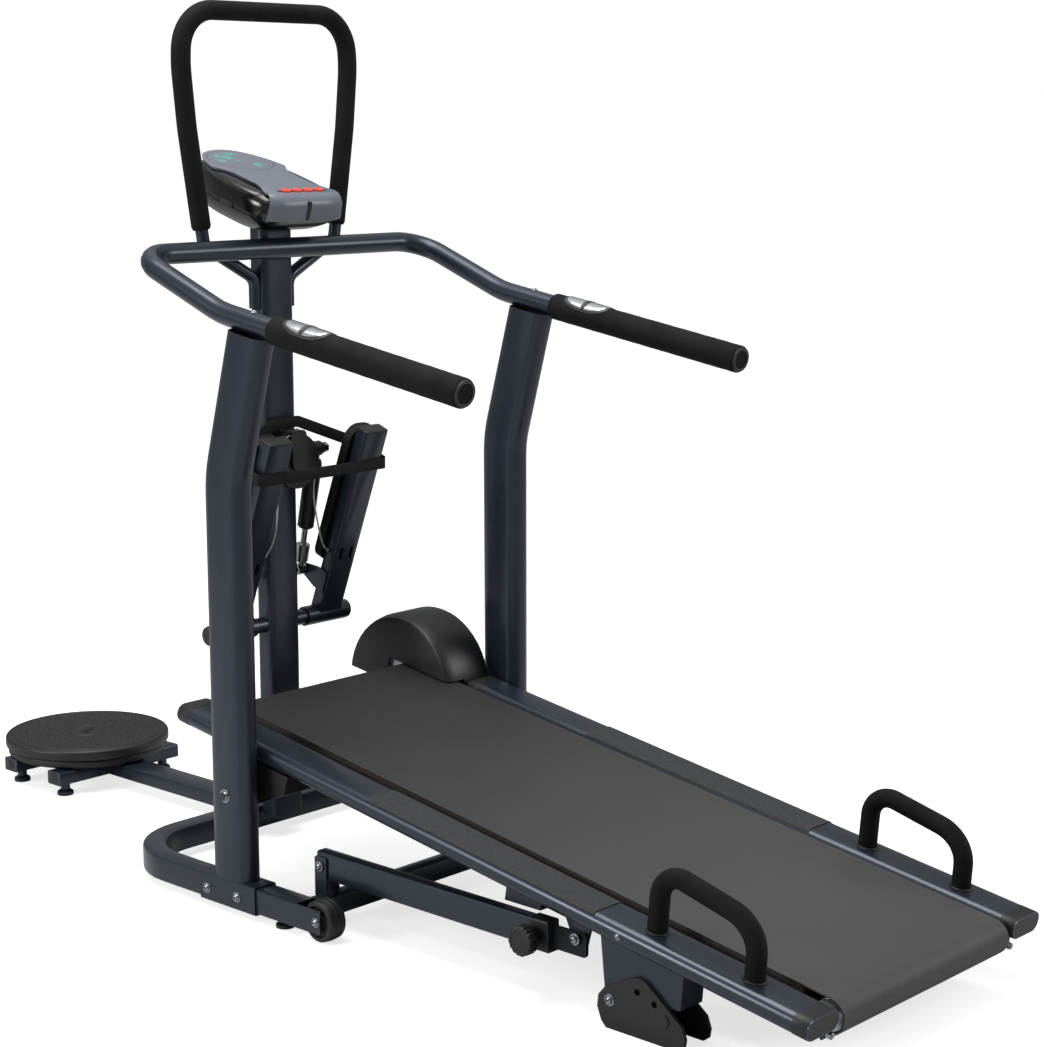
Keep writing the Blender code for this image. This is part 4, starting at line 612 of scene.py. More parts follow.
class TreadmillSizes(PropertyGroup):
    grip_radius: FloatProperty(name="Grip radius", description="Foam on the handrails", default=0.0205,
                               unit="LENGTH", min=0.018, max=0.024)
    loop_radius: FloatProperty(name="Loop foam radius", description="Foam on the loop handle", default=0.015,
                               unit="LENGTH", min=0.0130, max=0.018)
    push_radius: FloatProperty(name="Push-up foam radius", description="Foam on the push-up handles",
                               default=0.0135, unit="LENGTH", min=0.010, max=0.016)
    stud_rings: IntProperty(name="Stud rings", description="Rings of studs on the twister plate", default=7,
                            min=2, max=12)
    stud_radius: FloatProperty(name="Stud radius", description="Each stud on the twister plate",
                               default=0.0033,
                               unit="LENGTH", min=0.001, max=0.005)
    rib_pitch: FloatProperty(name="Rib pitch", description="Ribs across the foot plates", default=0.0095,
                             unit="LENGTH", min=0.005, max=0.020)
    rope_radius: FloatProperty(name="Rope radius", description="Stepper's wire rope", default=0.0015,
                               unit="LENGTH", min=0.001, max=0.003)
    bolt_radius: FloatProperty(name="Bolt head radius", description="Button heads on the frame",
                               default=0.0056,
                               unit="LENGTH", min=0.004, max=0.010)


def sizes():
    return bpy.context.scene.treadmill_sizes


# ---------------------------------------------------------------- operators
class TREADMILL_OT_finishes(Operator):
    """Makes every finish and puts it on welded copies of the CAD nodes whose shape is right"""
    bl_idname = "treadmill.finishes"
    bl_label = "Finishes"

    def execute(self, context):
        make_finishes(context.scene.treadmill_colours)
        for (finish, slot), names in CARRIED.items():
            for name in names:
                welded_copy(name, finish)
        return {"FINISHED"}


def grip_line(side):
    """Both ends of a grip's centre line, and the directions along it and square to it."""
    saddle = UPRIGHT_TOP_Z + (0.0003 + RAIL_TUBE_R) / math.cos(GRIP_SLOPE)
    low = at(side * UPRIGHT_X, GRIP_END_Y, saddle + math.tan(GRIP_SLOPE) * (GRIP_END_Y - UPRIGHT_TOP_Y))
    along = np.array([0, math.cos(GRIP_SLOPE), math.sin(GRIP_SLOPE)])
    return low, along, np.array([0, -math.sin(GRIP_SLOPE), math.cos(GRIP_SLOPE)])


class TREADMILL_OT_grips(Operator):
    """Foam grips with rounded ends, and their end caps"""
    bl_idname = "treadmill.grips"
    bl_label = "Handrail grips"

    def execute(self, context):
        for side, name in SIDES:
            low, along, square = grip_line(side)
            run = np.linspace(0.001, GRIP_LENGTH, 120)
            from_end = np.minimum(run - 0.001, GRIP_LENGTH - run)
            # the radius falls by 2.4 mm over the last 4 mm, and swells and sinks a little as foam does
            radius = (sizes().grip_radius - 0.0024 * np.clip(1 - from_end / 0.004, 0, 1) ** 2
                      + 0.00015 * np.sin(run * 170 + side) * np.sin(run * 61))
            path = low + along * run[:, None]
            foam = skin(f"{name}_grip", round_hose(path, radius, (0, 0, 1), 48), "nitrile_foam", "base")
            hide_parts(f"{name}_grip_foam")
            cap = turned(((0.0170, -0.004), (0.0186, -0.0008), (0.0182, 0.0006), (0.0150, 0.0007),
                          (0.0145, -0.0004), (0.0060, -0.0004)), low + along * 0.0008, -along, 48)
            skin(f"{name}_grip_cap", cap, "moulded_black_abs", "base")
        return {"FINISHED"}


def saddle_patch(name, side, middle, half_long, half_wide, radius, thick, power, finish):
    """Patch bent over a grip: its outline is a superellipse, drawn in towards its middle in rings, and its
    width is wrapped round the grip as an angle of width / radius."""
    low, along, square = grip_line(side)
    angle = np.linspace(0, 2 * math.pi, 72, endpoint=False)
    c, s = np.cos(angle), np.sin(angle)
    outline = np.stack([np.sign(c) * np.abs(c) ** power * half_long,
                        np.sign(s) * np.abs(s) ** power * half_wide])
    rings = np.array([0.15, 0.4, 0.65, 0.85, 0.95, 1.0, 1.0, 0.9])
    lift = radius + thick * np.array([1, 1, 1, 1, 0.95, 0.6, -0.6, -0.8])
    length = outline[0] * rings[:, None]
    turn = outline[1] * rings[:, None] / radius
    points = (low + along * (middle + length)[..., None]
              + square * (lift[:, None] * np.cos(turn))[..., None]
              + np.array([1.0, 0, 0]) * (lift[:, None] * np.sin(turn))[..., None])
    return skin(name, points, finish, "base", 50)


class TREADMILL_OT_sensors(Operator):
    """Pulse contacts: a steel plate bent over each grip in a black surround, parted by a black bar"""
    bl_idname = "treadmill.sensors"
    bl_label = "Pulse contacts"

    def execute(self, context):
        radius = sizes().grip_radius
        for side, name in SIDES:
            middle = GRIP_LENGTH - 0.071
            saddle_patch(f"{name}_contact_surround", side, middle, 0.046, 0.0245, radius, 0.0010, 0.80,
                         "moulded_black_abs")
            plate = saddle_patch(f"{name}_contact_plate", side, middle, 0.041, 0.0210, radius + 0.0006,
                                 0.0012,
                                 0.85, "stainless_contact")
            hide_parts(f"{name}_pulse_sensor")
            saddle_patch(f"{name}_contact_divider", side, middle, 0.0044, 0.0222, radius + 0.0008, 0.0017,
                         0.45,
                         "moulded_black_abs")
        return {"FINISHED"}


class TREADMILL_OT_loop_foam(Operator):
    """Foam on the loop handle, from one end above the console round to the other"""
    bl_idname = "treadmill.loop_foam"
    bl_label = "Loop handle foam"

    def execute(self, context):
        half = [(0.134, 0.963), (0.138, 0.988), (0.161, 1.140), (0.170, 1.235), (0.164, 1.315)]
        corners = [at(-x, MAST_Y, z) for x, z in half] + [at(x, MAST_Y, z) for x, z in half[::-1]]
        radii = [0.10, 0.30, 0.20, 0.062]
        path = rounded_corners(corners, radii + radii[::-1], 4)
        path = resampled(path[path[:, 2] > 0.984], 220)
        run = np.linspace(0, 1, len(path))
        from_end = np.minimum(run, 1 - run) * 0.96
        radius = sizes().loop_radius - 0.0022 * np.clip(1 - from_end / 0.005, 0, 1) ** 2
        foam = skin("loop_foam", round_hose(path, radius, (0, 1, 0), 40), "nitrile_foam", "base")
        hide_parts("loop_handle_foam")
        return {"FINISHED"}


class TREADMILL_OT_push_up_handles(Operator):
    """Push-up handles: a bent bar in foam, standing on the rails in small flanges"""
    bl_idname = "treadmill.push_up_handles"
    bl_label = "Push-up handles"

    def execute(self, context):
        for side, name in SIDES:
            x = side * RAIL_X
            corners = deck([-0.762, -0.756, -0.888, -0.914, -0.918], [0.0015, 0.087, 0.073, 0.050, 0.0015], x)
            path = resampled(rounded_corners(corners, [0.032, 0.055, 0.045], 4), 110)
            foam = skin(f"{name}_push_up_foam", round_hose(path, sizes().push_radius, (1, 0, 0), 36),
                        "nitrile_foam", "deck", 60)
            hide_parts(f"{name}_push_up_handle")
            up = deck(0, 1, 0) - deck(0, 0, 0)
            rings = [turned(((0.0158, 0.0004), (0.0158, 0.0012), (0.0150, 0.0020), (0.0136, 0.0022)),
                            deck(s, 0.001, x), up, 40) for s in PUSH_FEET_S]
            skin(f"{name}_push_up_flanges", rings, "moulded_black_abs", "deck")
        return {"FINISHED"}


def console_loop(scale, count=120):
    """Console outline: a superellipse, squarer at the user's end, and 17% narrower towards its far end."""
    angle = np.linspace(0, 2 * math.pi, count, endpoint=False)
    c, s = np.cos(angle), np.sin(angle)
    near = s < 0
    along = np.sign(s) * np.abs(s) ** np.where(near, 0.40, 0.86) * CONSOLE_HALF[1]
    width = CONSOLE_HALF[0] * (1 - 0.17 * np.maximum(0, s))
    across = np.sign(c) * np.abs(c) ** np.where(near, 0.40, 0.62) * width
    return across * scale, along * scale


class TREADMILL_OT_console(Operator):
    """Console: black gloss shell, a grey satin top that wraps over its nose, slot and button strip"""
    bl_idname = "treadmill.console"
    bl_label = "Console"

    def execute(self, context):
        turn = np.linspace(0, math.pi / 2, 9)
        body = [(scale, -0.0040) for scale in (0.05, 0.4, 0.7, 0.80)]
        body += [(0.82 + 0.178 * math.sin(t), -0.0240 + 0.020 * math.cos(t)) for t in turn]
        body += [(0.992, -0.036), (0.985, -0.0395), (0.980, -0.0402), (0.982, -0.0410), (0.960, -0.047),
                 (0.90, -0.056), (0.80, -0.0665), (0.72, -0.070)]
        layers = []
        for scale, height in body:
            across, along = console_loop(scale)
            back = 0.018 * np.clip((-height - 0.040) / 0.030, 0, 1)
            layers.append(console(across, along + back, height))
        shell = skin("console_shell", np.stack(layers), "gloss_black_abs", "base", 50)
        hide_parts("console_base")

        # grey top: a strip of stations from the far end over the nose.  Its half width is 56 mm at the waist,
        # and grows by smooth steps to 78 mm at the display and 72 mm at the nose, within the outline
        angle = np.linspace(math.pi / 2 - 0.05, -math.pi / 2 + 0.0001, 90)
        s, c = np.sin(angle), np.cos(angle)
        along = np.sign(s) * np.abs(s) ** np.where(s < 0, 0.40, 0.86) * CONSOLE_HALF[1] * 0.985
        edge = np.abs(c) ** np.where(s < 0, 0.40, 0.62) * CONSOLE_HALF[0] * (1
                                                                             - 0.17 * np.maximum(0, s)) * 0.94
        flare, nose = np.clip((along - 0.002) / 0.05, 0, 1), np.clip((-0.045 - along) / 0.05, 0, 1)
        half = 0.056 + 0.022 * flare ** 2 * (3 - 2 * flare) + 0.016 * nose ** 2 * (3 - 2 * nose)
        flat = along > -0.099
        station, half = along[flat], np.minimum(edge, half)[flat]
        down = np.linspace(0, math.pi / 2, 13)[1:]
        station = np.concatenate([station, -0.099 - 0.0180 * np.sin(down), np.full(4, -0.1170)])
        level = np.concatenate([np.zeros(flat.sum()), -0.0180 * (1 - np.cos(down)),
                                [-0.024, -0.029, -0.035, -0.039]])
        half = np.concatenate([half, half[-1] + 0.006 * np.linspace(0, 1, 16)])
        v = np.concatenate([np.linspace(-1, 1, 41), np.linspace(0.97, -0.97, 9)])
        crown = np.where(np.arange(len(v)) < 41, 0.0012 * (1 - np.abs(v) ** 6), -0.0040)
        slope = np.gradient(np.stack([station, level]), axis=1)
        slope = slope / np.linalg.norm(slope, axis=0)
        normal_along, normal_up = slope[1], -slope[0]
        # on the nose the strip follows the outline's bow across: back by the width's fifth power
        bow = 0.011 * np.clip((-station - 0.07) / 0.045, 0, 1)[:, None] * np.abs(v) ** 5
        points = console(half[:, None] * v,
                         station[:, None] + bow + normal_along[:, None] * crown,
                         level[:, None] + normal_up[:, None] * crown - 0.0006 * np.abs(v) ** 6)
        grey = skin("console_top_panel", points, "grey_satin_abs", "base", 50)
        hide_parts("console_top")

        up, way = console(0, 0, 1) - console(0, 0, 0), console(0, 1, 0) - console(0, 0, 0)
        strip = slab(round_rectangle(0.100, 0.0066, 0.0032), console(0, BUTTON_ALONG, 0.0009), (1, 0, 0), way,
                     [(0.0004, -0.002), (0, -0.0012), (0, 0.0004), (0.0005, 0.0008), (0.0015, 0.0009)])
        slot = slab(round_rectangle(0.0070, 0.030, 0.0034), console(-0.004, -0.1180, -0.0215), (1, 0, 0), up,
                    [(0.0002, -0.004), (0, -0.003), (0, 0.0010), (0.0004, 0.0014)])
        lip = slab(round_rectangle(0.030, 0.009, 0.0028), console(-0.0835, -0.020, -0.040), -way, up,
                   [(0.0002, -0.004), (0, -0.003), (0, 0.0010), (0.0004, 0.0014)])
        skin("console_slots", [strip, slot, lip], "moulded_black_abs", "base")
        return {"FINISHED"}


class TREADMILL_OT_twister(Operator):
    """Twister: turning plate with rings of studs, over its fixed base"""
    bl_idname = "treadmill.twister"
    bl_label = "Twister"

    def execute(self, context):
        centre = at(0, TWISTER_Y, 0)
        base = ((0.020, 0.0455), (0.120, 0.0455), (0.134, 0.0465), (0.1385, 0.0500), (0.1390, 0.0560),
                (0.1380, 0.0592), (0.1350, 0.0600), (0.020, 0.0600))
        piece = skin("twister_lower_disc", turned(base, centre, (0, 0, 1), 120), "moulded_black_abs", "base")
        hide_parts("twister_base")
        rim = [(0.143 - 0.006 + 0.006 * math.sin(t), 0.0735 + 0.0060 * math.cos(t))
               for t in np.linspace(math.pi / 2, 0, 8)]
        top = [(0.020, 0.0612), (0.139, 0.0612), (0.1420, 0.0620), (0.1430, 0.0640), *rim, (0.1345, 0.0796),
               (0.1335, 0.0785), (0.1315, 0.0785), (0.1305, 0.0795), (0.090, 0.0793), (0.036, 0.0793),
               (0.0350, 0.0784), (0.0330, 0.0784), (0.0320, 0.0794), (0.012, 0.0794)]
        piece = skin("twister_top_disc", turned(top, centre, (0, 0, 1), 144), "moulded_black_abs",
                     "turning_plate")
        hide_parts("twister_plate")
        # studs: rings every 13.5 mm, each with as many studs as fit 14 mm apart
        radius, studs = sizes().stud_radius, []
        for ring in range(sizes().stud_rings):
            reach = 0.0430 + ring * 0.0135
            count = int(2 * math.pi * reach / 0.0140)
            for angle in np.arange(count) * 2 * math.pi / count + 0.3 * ring:
                foot = centre + (reach * math.cos(angle), reach * math.sin(angle), TWISTER_TOP_Z - 0.0002)
                studs.append(turned(((radius, 0), (radius * 0.9, 0.0012), (radius * 0.55, 0.0017)), foot,
                                    (0, 0, 1), 8))
        skin("twister_studs", studs, "moulded_black_abs", "turning_plate", 80)
        bar = slab(round_rectangle(0.044, 0.011, 0.0045), centre + (0, 0, TWISTER_TOP_Z), (0.88, 0.48, 0),
                   (-0.48, 0.88, 0), [(0, 0), (0.0004, 0.0008), (0.0012, 0.0010)])
        skin("twister_hub_bar", bar, "moulded_rubber", "turning_plate")
        return {"FINISHED"}


class TREADMILL_OT_foot_plates(Operator):
    """Pedal foot plates: rubber pads with ribs across"""
    bl_idname = "treadmill.foot_plates"
    bl_label = "Foot plates"

    def execute(self, context):
        long_half, corner = 0.120, 0.022
        straight = long_half - corner
        bend = np.linspace(0, 1, 9) * math.pi / 2
        for side, name in SIDES:
            station = np.concatenate([-np.cos(bend[:-1]) * corner - straight,
                                      np.linspace(-straight, straight, 150),
                                      np.sin(bend[1:]) * corner + straight])
            over = np.clip(np.abs(station) - straight, 0, corner)
            half = PEDAL_WIDE_HALF - corner + np.sqrt(corner ** 2 - over ** 2)
            # a rib's height is a squared sine of the length over the pitch, and the sides stay plain
            rib = 0.0016 * np.sin(station * math.pi / sizes().rib_pitch) ** 2 * (over <= 0)
            v = np.concatenate([np.linspace(-1, 1, 21), np.linspace(1, -1, 9)])
            top = np.arange(len(v)) < 21
            edge = np.clip((1 - np.abs(v)) / 0.22, 0, 1)
            height = np.where(top, 0.0160 + 0.0022 * np.sqrt(edge), 0.0003) + rib[:,
                                                                                  None] * (top * (edge >= 1))
            points = pedal(0.213 + station[:, None], -(0.0125 + height),
                           side * PEDAL_X + half[:, None] * v * np.where(top, 1, 0.99))
            plate = skin(f"{name}_foot_pad", points, "moulded_rubber", f"{name}_pedal", 40)
            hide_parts(f"{name}_foot_plate")
        return {"FINISHED"}


class TREADMILL_OT_wheels(Operator):
    """Transport wheels with a grooved tread and a dished hub"""
    bl_idname = "treadmill.wheels"
    bl_label = "Transport wheels"

    def execute(self, context):
        for side, name in SIDES:
            half = [(0.0045, 0.0125), (0.0100, 0.0130), (0.0110, 0.0105), (0.0220, 0.0105), (0.0235, 0.0148),
                    (0.0270, 0.0150), (0.0298, 0.0125), (0.0306, 0.0060), (0.0292, 0.0050), (0.0292, 0.0038),
                    (0.0308, 0.0028)]
            profile = half + [(0.0310, 0.0)] + [(r, -x) for r, x in half[::-1]]
            wheel = skin(f"{name}_transport_wheel", turned(profile, at(side * UPRIGHT_X, WHEEL_Y, WHEEL_Z),
                                                           (1, 0, 0), 72),
                         "moulded_black_abs", f"{name}_wheel")
            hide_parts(f"{name}_wheel")
        return {"FINISHED"}


class TREADMILL_OT_lock_knob(Operator):
    """Pull knob of the folding strut: sixteen flutes round its rim, and a black collar on the tube's end"""
    bl_idname = "treadmill.lock_knob"
    bl_label = "Lock knob and collar"

    def execute(self, context):
        face = STRUT_X - 0.010
        y, z = STRUT_FRONT[0] - KNOB_FROM_PIVOT, STRUT_FRONT[1] - 0.004

        def flutes(angle):
            return 1 - 0.07 * np.clip(np.cos(16 * angle), 0, 1) ** 2
        profile = [(0.0050, -0.0072), (0.0090, -0.0010), (0.0110, -0.0008), (0.0110, 0.010), (0.0190, 0.012),
                   (0.0205, 0.0135), (0.0205, 0.0275), (0.0190, 0.0292), (0.0160, 0.0298), (0.0150, 0.0288),
                   (0.0060, 0.0288), (0.0040, 0.0294)]
        knob = skin("fluted_knob", turned(profile, at(face, y, z), (-1, 0, 0), 128, flutes),
                    "moulded_black_abs", "lock_knob")
        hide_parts("strut_knob")
        collar = slab(round_rectangle(0.0240, 0.0445, 0.004), at(STRUT_X, -0.567, STRUT_FRONT[1]), (1, 0, 0),
                      (0, 0, 1), [(0.0012, -0.0160), (0, -0.0148), (0, 0.0168), (0.0012, 0.0178),
                                  (0.0085, 0.0178)])
        skin("strut_collar", collar, "moulded_black_abs", "strut_tube")
        return {"FINISHED"}


def cable_route():
    """Right half of the wire rope's route, from the pulley's top down to the arm, the left one mirrored."""
    pulley_y = MAST_FACE_Y - 0.0285
    ring = 0.0418
    angle = np.radians(np.linspace(90, 6, 14))
    wrap = np.stack([ring * np.cos(angle), np.full(14, pulley_y), PULLEY_Z + ring * np.sin(angle)], axis=-1)
    down = np.array([(0.0415, pulley_y, 0.600), (0.038, pulley_y, 0.560), (0.046, 0.181, 0.510),
                     (0.060, 0.186, 0.478), (0.082, 0.192, 0.462)])
    route = np.concatenate([wrap, down]) + (0, FOOT_Y, 0)
    # a curve through the points: each span is a cubic that leaves along the chord of its neighbours
    ends = np.concatenate([2 * route[:1] - route[1:2], route, 2 * route[-1:] - route[-2:-1]])
    p0, p1, p2, p3 = ends[:-3], ends[1:-2], ends[2:-1], ends[3:]
    t = np.linspace(0, 1, 12, endpoint=False)[:, None, None]
    curve = 0.5 * (2 * p1 + (p2 - p0) * t + (2 * p0 - 5 * p1 + 4 * p2 - p3) * t ** 2
                   + (3 * p1 - p0 - 3 * p2 + p3) * t ** 3)
    return np.concatenate([curve.transpose(1, 0, 2).reshape(-1, 3), route[-1:]])


class TREADMILL_OT_wire_rope(Operator):
    """Wire rope over the pulley, in two halves, one for each pedal arm"""
    bl_idname = "treadmill.wire_rope"
    bl_label = "Wire rope"

    def execute(self, context):
        radius = sizes().rope_radius
        for side, name in SIDES:
            line = cable_route() * (side, 1, 1)
            length = float(np.linalg.norm(np.diff(line, axis=0), axis=1).sum())
            path = resampled(line, 150)
            angle = np.linspace(0, 2 * math.pi, 18, endpoint=False)
            run = np.linspace(0, length, len(path))[:, None]
            # six strands: the radius dips by a sixteenth between them, and the lay turns once in 12 mm
            wave = radius * (1 - 0.06 * (1 - np.cos(6 * angle - 2 * math.pi * run / 0.012)))
            loops = swept(path, wave * np.cos(angle), wave * np.sin(angle), (0, 1, 0))
            uv = np.stack(np.broadcast_arrays(run * 130, np.arange(18) / 3.0), axis=-1).reshape(-1, 2)
            rope = skin(f"{name}_wire_rope", loops, "galvanised_rope",
                        ("base", f"{name}_pedal", tuple(path[60]), tuple(path[-1])), 80, uv)
            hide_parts("stepper_cable")
            # swaged ferrule where the rope meets the arm
            along = unit(path[-1] - path[-8])
            ferrule = turned(((0.0022, -0.014), (0.0030, -0.013), (0.0030, -0.003), (0.0034, -0.001),
                              (0.0034, 0.004)), path[-1], along, 24)
            skin(f"{name}_rope_ferrule", ferrule, "zinc_plate", f"{name}_pedal")
        return {"FINISHED"}


class TREADMILL_OT_strap(Operator):
    """Storage strap round both pedals and back to the mast, in two halves, one for each pedal"""
    bl_idname = "treadmill.strap"
    bl_label = "Storage strap"

    def execute(self, context):
        front = float(pedal(0.2742, 0.0125, 0)[1]) - 0.006
        edge = PEDAL_X + PEDAL_WIDE_HALF + 0.0025
        rear = MAST_FACE_Y - 0.009 + FOOT_Y
        for side, name in SIDES:
            corners = np.array([(0, front, STRAP_FRONT_Z), (edge, front, STRAP_FRONT_Z),
                                (edge, front + 0.080, STRAP_SIDE_Z), (0.024, rear, STRAP_REAR_Z),
                                (0, rear, STRAP_REAR_Z)]) * (side, 1, 1)
            path = resampled(rounded_corners(corners, [0.006, 0.010, 0.010], 12), 140)
            length = float(np.linalg.norm(np.diff(path, axis=0), axis=1).sum())
            outline = round_rectangle(0.0016, 0.018, 0.0007, 3)
            loops = swept(path, outline[:, 0], outline[:, 1], (0, 0, 1))
            run = np.linspace(0, length, len(path))[:, None]
            uv = np.stack(np.broadcast_arrays(run, outline[:, 1]), axis=-1).reshape(-1, 2)
            strap = skin(f"{name}_strap", loops, "black_webbing",
                         ("base", f"{name}_pedal", (side * 0.024, rear, STRAP_REAR_Z),
                          (side * edge, front + 0.08, STRAP_SIDE_Z)),
                         50, uv)
            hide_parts("storage_strap")
        return {"FINISHED"}


class TREADMILL_OT_end_caps(Operator):
    """Plastic caps on the ends of rails, pedal arms, shaft and twister bars"""
    bl_idname = "treadmill.end_caps"
    bl_label = "End caps"

    def execute(self, context):
        up = deck(0, 1, 0) - deck(0, 0, 0)
        cap = round_rectangle(0.0668, 0.0298, 0.0139)
        hood = [(0, -0.0240), (0, -0.0020), (0.0006, -0.0008), (0.0018, 0), (0.0050, 0.0002)]
        rail = [slab(cap, deck(RAIL_REAR_S, RAIL_MIDDLE, side * RAIL_X), (1, 0, 0), up, hood)
                for side in (-1, 1)]
        rail += [slab(cap, deck(front, RAIL_MIDDLE, side * RAIL_X), (-1, 0, 0), up, hood)
                 for side, front in zip((-1, 1), RAIL_FRONT_S)]
        skin("rail_caps", rail, "moulded_black_abs", "deck")
        for side, name in SIDES:
            arm = slab(round_rectangle(0.0476, 0.0246, 0.003), pedal(0.335, 0, side * PEDAL_X), (1, 0, 0),
                       pedal(0, -1, 0) - pedal(0, 0, 0), [(0.0025, -0.010), (0.002, 0.0002), (0, 0.0004),
                                                          (0, 0.0022), (0.001, 0.0032), (0.004, 0.0036)])
            skin(f"{name}_arm_cap", arm, "moulded_black_abs", f"{name}_pedal")
        shaft = [turned(((0.0128, -0.004), (0.0150, -0.0002), (0.0150, 0.0018), (0.0130, 0.0030),
                         (0.006, 0.0034)),
                        at(side * SHAFT_HALF, MAST_Y, SHAFT_Z), (side, 0, 0), 40) for side in (-1, 1)]
        skin("shaft_caps", shaft, "moulded_black_abs", "base")
        ends = [plug(round_rectangle(0.0212, 0.0196, 0.003), at(side * 0.129, y, 0.033), (0, side, 0),
                     (0, 0, 1),
                     0.004, 0.0008) for side in (-1, 1) for y in TWISTER_BARS_Y]
        skin("twister_bar_caps", ends, "moulded_black_abs", "base")
        return {"FINISHED"}


class TREADMILL_OT_fasteners(Operator):
    """Bolts, nuts and washers of every joint"""
    bl_idname = "treadmill.fasteners"
    bl_label = "Fasteners"

    def execute(self, context):
        size = sizes().bolt_radius
        base = []
        for side in (-1, 1):
            way = (side, 0, 0)
            for y, z in ((0.046, 0.029), (-0.022, 0.030)):
                base.append(bolt(at(side * 0.3109, y, z), way, size, 0.0048))
            base.append(bolt(at(side * 0.3083, WHEEL_Y, WHEEL_Z), way, size * 0.9, 0.0045))
            base.append(bolt(at(side * 0.3103, 0, 0.179), way, size * 1.3, 0.0052))
            for z in (0.520, 0.470):
                base.append(bolt(at(side * UPRIGHT_X, 0.0400, z), (0, 1, 0), size * 0.8, 0.0045))
            base.append(bolt(at(side * UPRIGHT_X, -0.065, 0.8868), (0, 0, 1), size * 0.70, 0.0030))
            base.append(bolt(at(side * 0.0322, MAST_Y, 0.880), way, size * 0.7, 0.0040))
        base.append(bolt(at(STRUT_X - 0.0150, *STRUT_FRONT), (-1, 0, 0), size * 0.95, 0.0050))
        base.append(bolt(at(0, 0.1770, 0.668), (0, -1, 0), size * 0.75, 0.0040))
        base += [bolt(at(0, y, 0.0445), (0, 0, 1), size * 0.8, 0.0035) for y in (0.300, 0.330)]
        base += [hexagon(at(side * 0.0800, 0.2037, 0.633), (side, 0, 0), 0.0085, 0.006) for side in (-1, 1)]
        skin("frame_bolts", base, "zinc_plate", "base")
        rear = []
        back = deck(-1, 0, 0) - deck(0, 0, 0)
        for side in (-1, 1):
            adjuster = deck(-1.0150, -0.0375, side * 0.2065)
            rear.append(hexagon(adjuster, back, 0.0054, 0.0070))
            rear.append(turned(((0.0026, -0.018), (0.0028, 0.0082), (0.0016, 0.0090)), adjuster, back, 16))
            rear.append(bolt(deck(-0.725, RAIL_MIDDLE, side * RAIL_OUTER), (side, 0, 0), size * 0.55, 0.0030))
        skin("deck_bolts", rear, "zinc_plate", "deck")
        tabs = [slab(round_rectangle(0.018, 0.020, 0.003), deck(-1.0120, -0.0345, side * 0.2075), (1, 0, 0),
                     deck(0, 1, 0) - deck(0, 0, 0),
                     [(0.0006, -0.0016), (0, -0.001), (0, 0.001), (0.0006, 0.0016)])
                for side in (-1, 1)]
        skin("roller_tabs", tabs, "slate_powder_coat", "deck")
        for side, name in SIDES:
            heads = [bolt(at(side * (RAIL_X + out * 0.0273), *CAM_BOLT), (out * side, 0, 0), size, 0.0050)
                     for out in (1, -1)]
            skin(f"{name}_cam_bolts", heads, "zinc_plate", f"{name}_cam_foot")
        skin("strut_rear_bolt", bolt(at(STRUT_X - 0.0070, *STRUT_REAR), (-1, 0, 0), size, 0.0055),
             "zinc_plate",
             "strut_bar")
        return {"FINISHED"}


def soft_light(name, place, aim, size, power, colour):
    """Square area light turned so that it shines from place to aim."""
    light = bpy.data.lights.new(name, "AREA")
    light.shape, light.size, light.energy, light.color = "SQUARE", size, power, colour
    lamp = bpy.data.objects.new(name, light)
    way = np.asarray(aim, float) - np.asarray(place, float)
    flat = math.hypot(way[0], way[1])
    lamp.location = place
    lamp.rotation_euler = (math.pi / 2 - math.atan2(-way[2], flat), 0, math.atan2(-way[0], way[1]))
    bpy.context.scene.collection.objects.link(lamp)


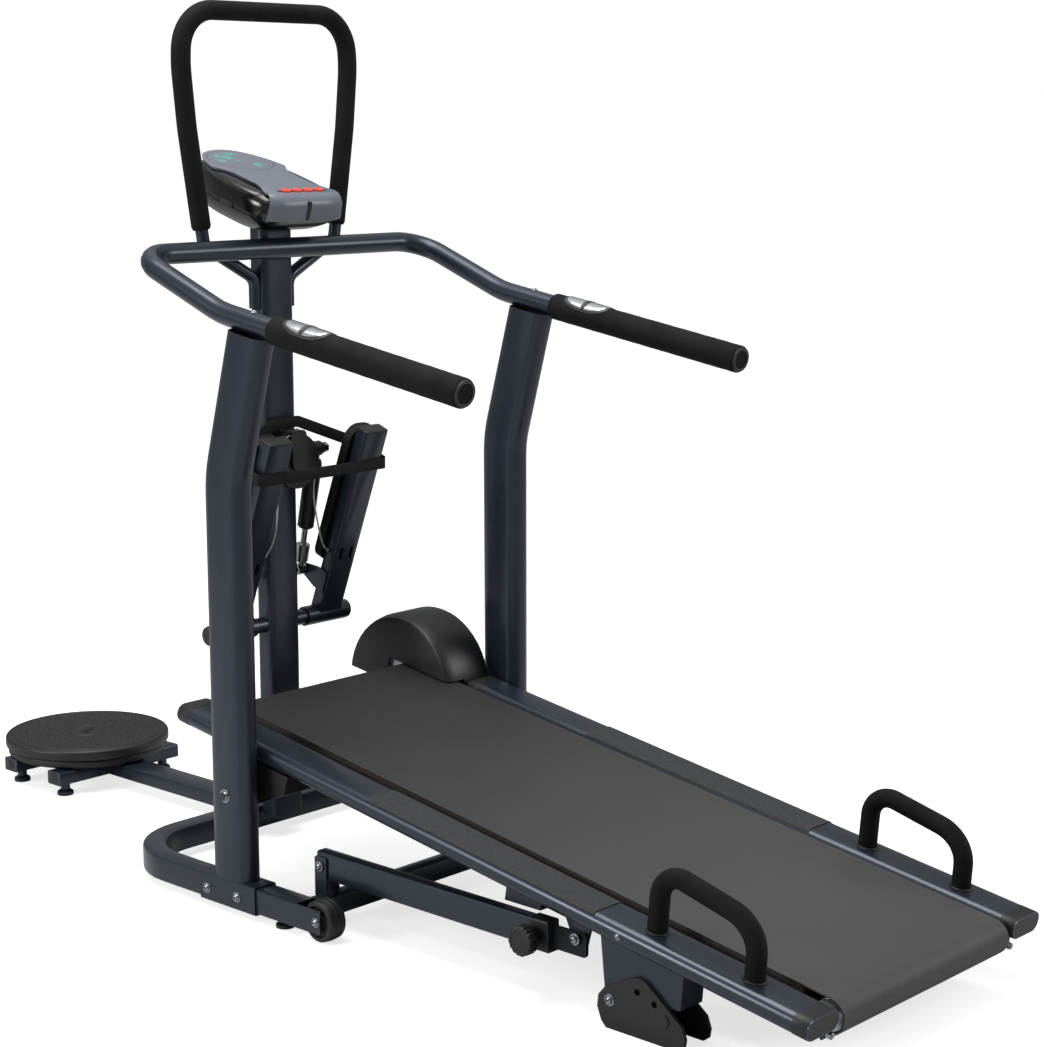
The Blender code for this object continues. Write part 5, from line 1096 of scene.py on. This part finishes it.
class TREADMILL_OT_stage(Operator):
    """Pale floor that curves up all round, soft light and the camera"""
    bl_idname = "treadmill.stage"
    bl_label = "Stage, light and camera"

    def execute(self, context):
        bend = np.linspace(0, math.pi / 2, 24)[1:]
        profile = [(r, 0.0) for r in (0.5, 1.5, 3.0, 5.0)]
        profile += [(5.0 + 4.0 * math.sin(t), 4.0 - 4.0 * math.cos(t)) for t in bend] + [(9.0, 7.0)]
        loops = turned(profile, (0, 0, -0.0002), (0, 0, 1), 96)
        count, around = loops.shape[:2]
        i, j = np.meshgrid(np.arange(count - 1), np.arange(around), indexing="ij")
        k = (j + 1) % around
        faces = np.stack([i * around + j, (i + 1) * around + j, (i + 1) * around + k, i * around + k],
                         axis=-1)
        ring = np.arange(around)
        middle = np.stack([np.full(around, count * around), ring, (ring + 1) % around], axis=-1)
        mesh = bpy.data.meshes.new("floor")
        mesh.from_pydata(np.concatenate([loops.reshape(-1, 3), [(0, 0, -0.0002)]]), [],
                         faces.reshape(-1, 4).tolist() + middle.tolist())
        mesh.materials.append(bpy.data.materials["pale_floor"])
        mesh.shade_smooth()
        floor = bpy.data.objects.new("floor", mesh)
        context.scene.collection.objects.link(floor)

        world = bpy.data.worlds.new("studio")
        world.use_nodes = True
        background = world.node_tree.nodes["Background"]
        background.inputs["Color"].default_value = linear("#F6F8FA")
        background.inputs["Strength"].default_value = 0.72
        context.scene.world = world
        context.scene.view_settings.view_transform = "Standard"
        soft_light("overhead_softbox", (-0.4, 0.2, 3.4), (0, 0, 0.4), 2.0, 105, (1.0, 0.99, 0.98))
        soft_light("left_softbox", (-3.6, 1.4, 1.7), (0, 0.1, 0.5), 1.2, 75, (0.97, 0.98, 1.0))
        soft_light("right_softbox", (2.4, -3.0, 1.9), (0, 0, 0.5), 1.3, 46, (1.0, 0.99, 0.98))

        lens = bpy.data.cameras.new("camera")
        lens.lens, lens.sensor_width, lens.sensor_fit, lens.clip_end = 78.1, 36.0, "AUTO", 50.0
        camera = bpy.data.objects.new("camera", lens)
        camera.location = (-2.3648, -2.4314, 1.1413)
        camera.rotation_euler = (math.radians(90 - 9.918), math.radians(0.112), math.radians(-47.296))
        context.scene.collection.objects.link(camera)
        context.scene.camera = camera
        return {"FINISHED"}


OPERATORS = (TREADMILL_OT_finishes, TREADMILL_OT_stage, TREADMILL_OT_wire_rope, TREADMILL_OT_strap,
             TREADMILL_OT_grips, TREADMILL_OT_sensors, TREADMILL_OT_loop_foam, TREADMILL_OT_push_up_handles,
             TREADMILL_OT_console, TREADMILL_OT_twister, TREADMILL_OT_foot_plates, TREADMILL_OT_wheels,
             TREADMILL_OT_lock_knob, TREADMILL_OT_end_caps, TREADMILL_OT_fasteners)


class TREADMILL_PT_panel(Panel):
    """Lists the treadmill's colours, sizes and pieces"""
    bl_idname = "TREADMILL_PT_panel"
    bl_label = "Treadmill"
    bl_space_type = "VIEW_3D"
    bl_region_type = "UI"
    bl_category = "Treadmill"

    def draw(self, context):
        for group in (context.scene.treadmill_colours, context.scene.treadmill_sizes):
            column = self.layout.column()
            for name in group.__annotations__:
                column.prop(group, name)
        for operator in OPERATORS:
            self.layout.operator(operator.bl_idname)


CLASSES = (TreadmillColours, TreadmillSizes, *OPERATORS, TREADMILL_PT_panel)


def register():
    for each in CLASSES:
        bpy.utils.register_class(each)
    bpy.types.Scene.treadmill_colours = PointerProperty(type=TreadmillColours)
    bpy.types.Scene.treadmill_sizes = PointerProperty(type=TreadmillSizes)


def unregister():
    del bpy.types.Scene.treadmill_sizes
    del bpy.types.Scene.treadmill_colours
    for each in reversed(CLASSES):
        bpy.utils.unregister_class(each)


def main():
    register()
    for operator in OPERATORS:
        group, name = operator.bl_idname.split(".")
        getattr(getattr(bpy.ops, group), name)()


if __name__ == "__main__":
    main()
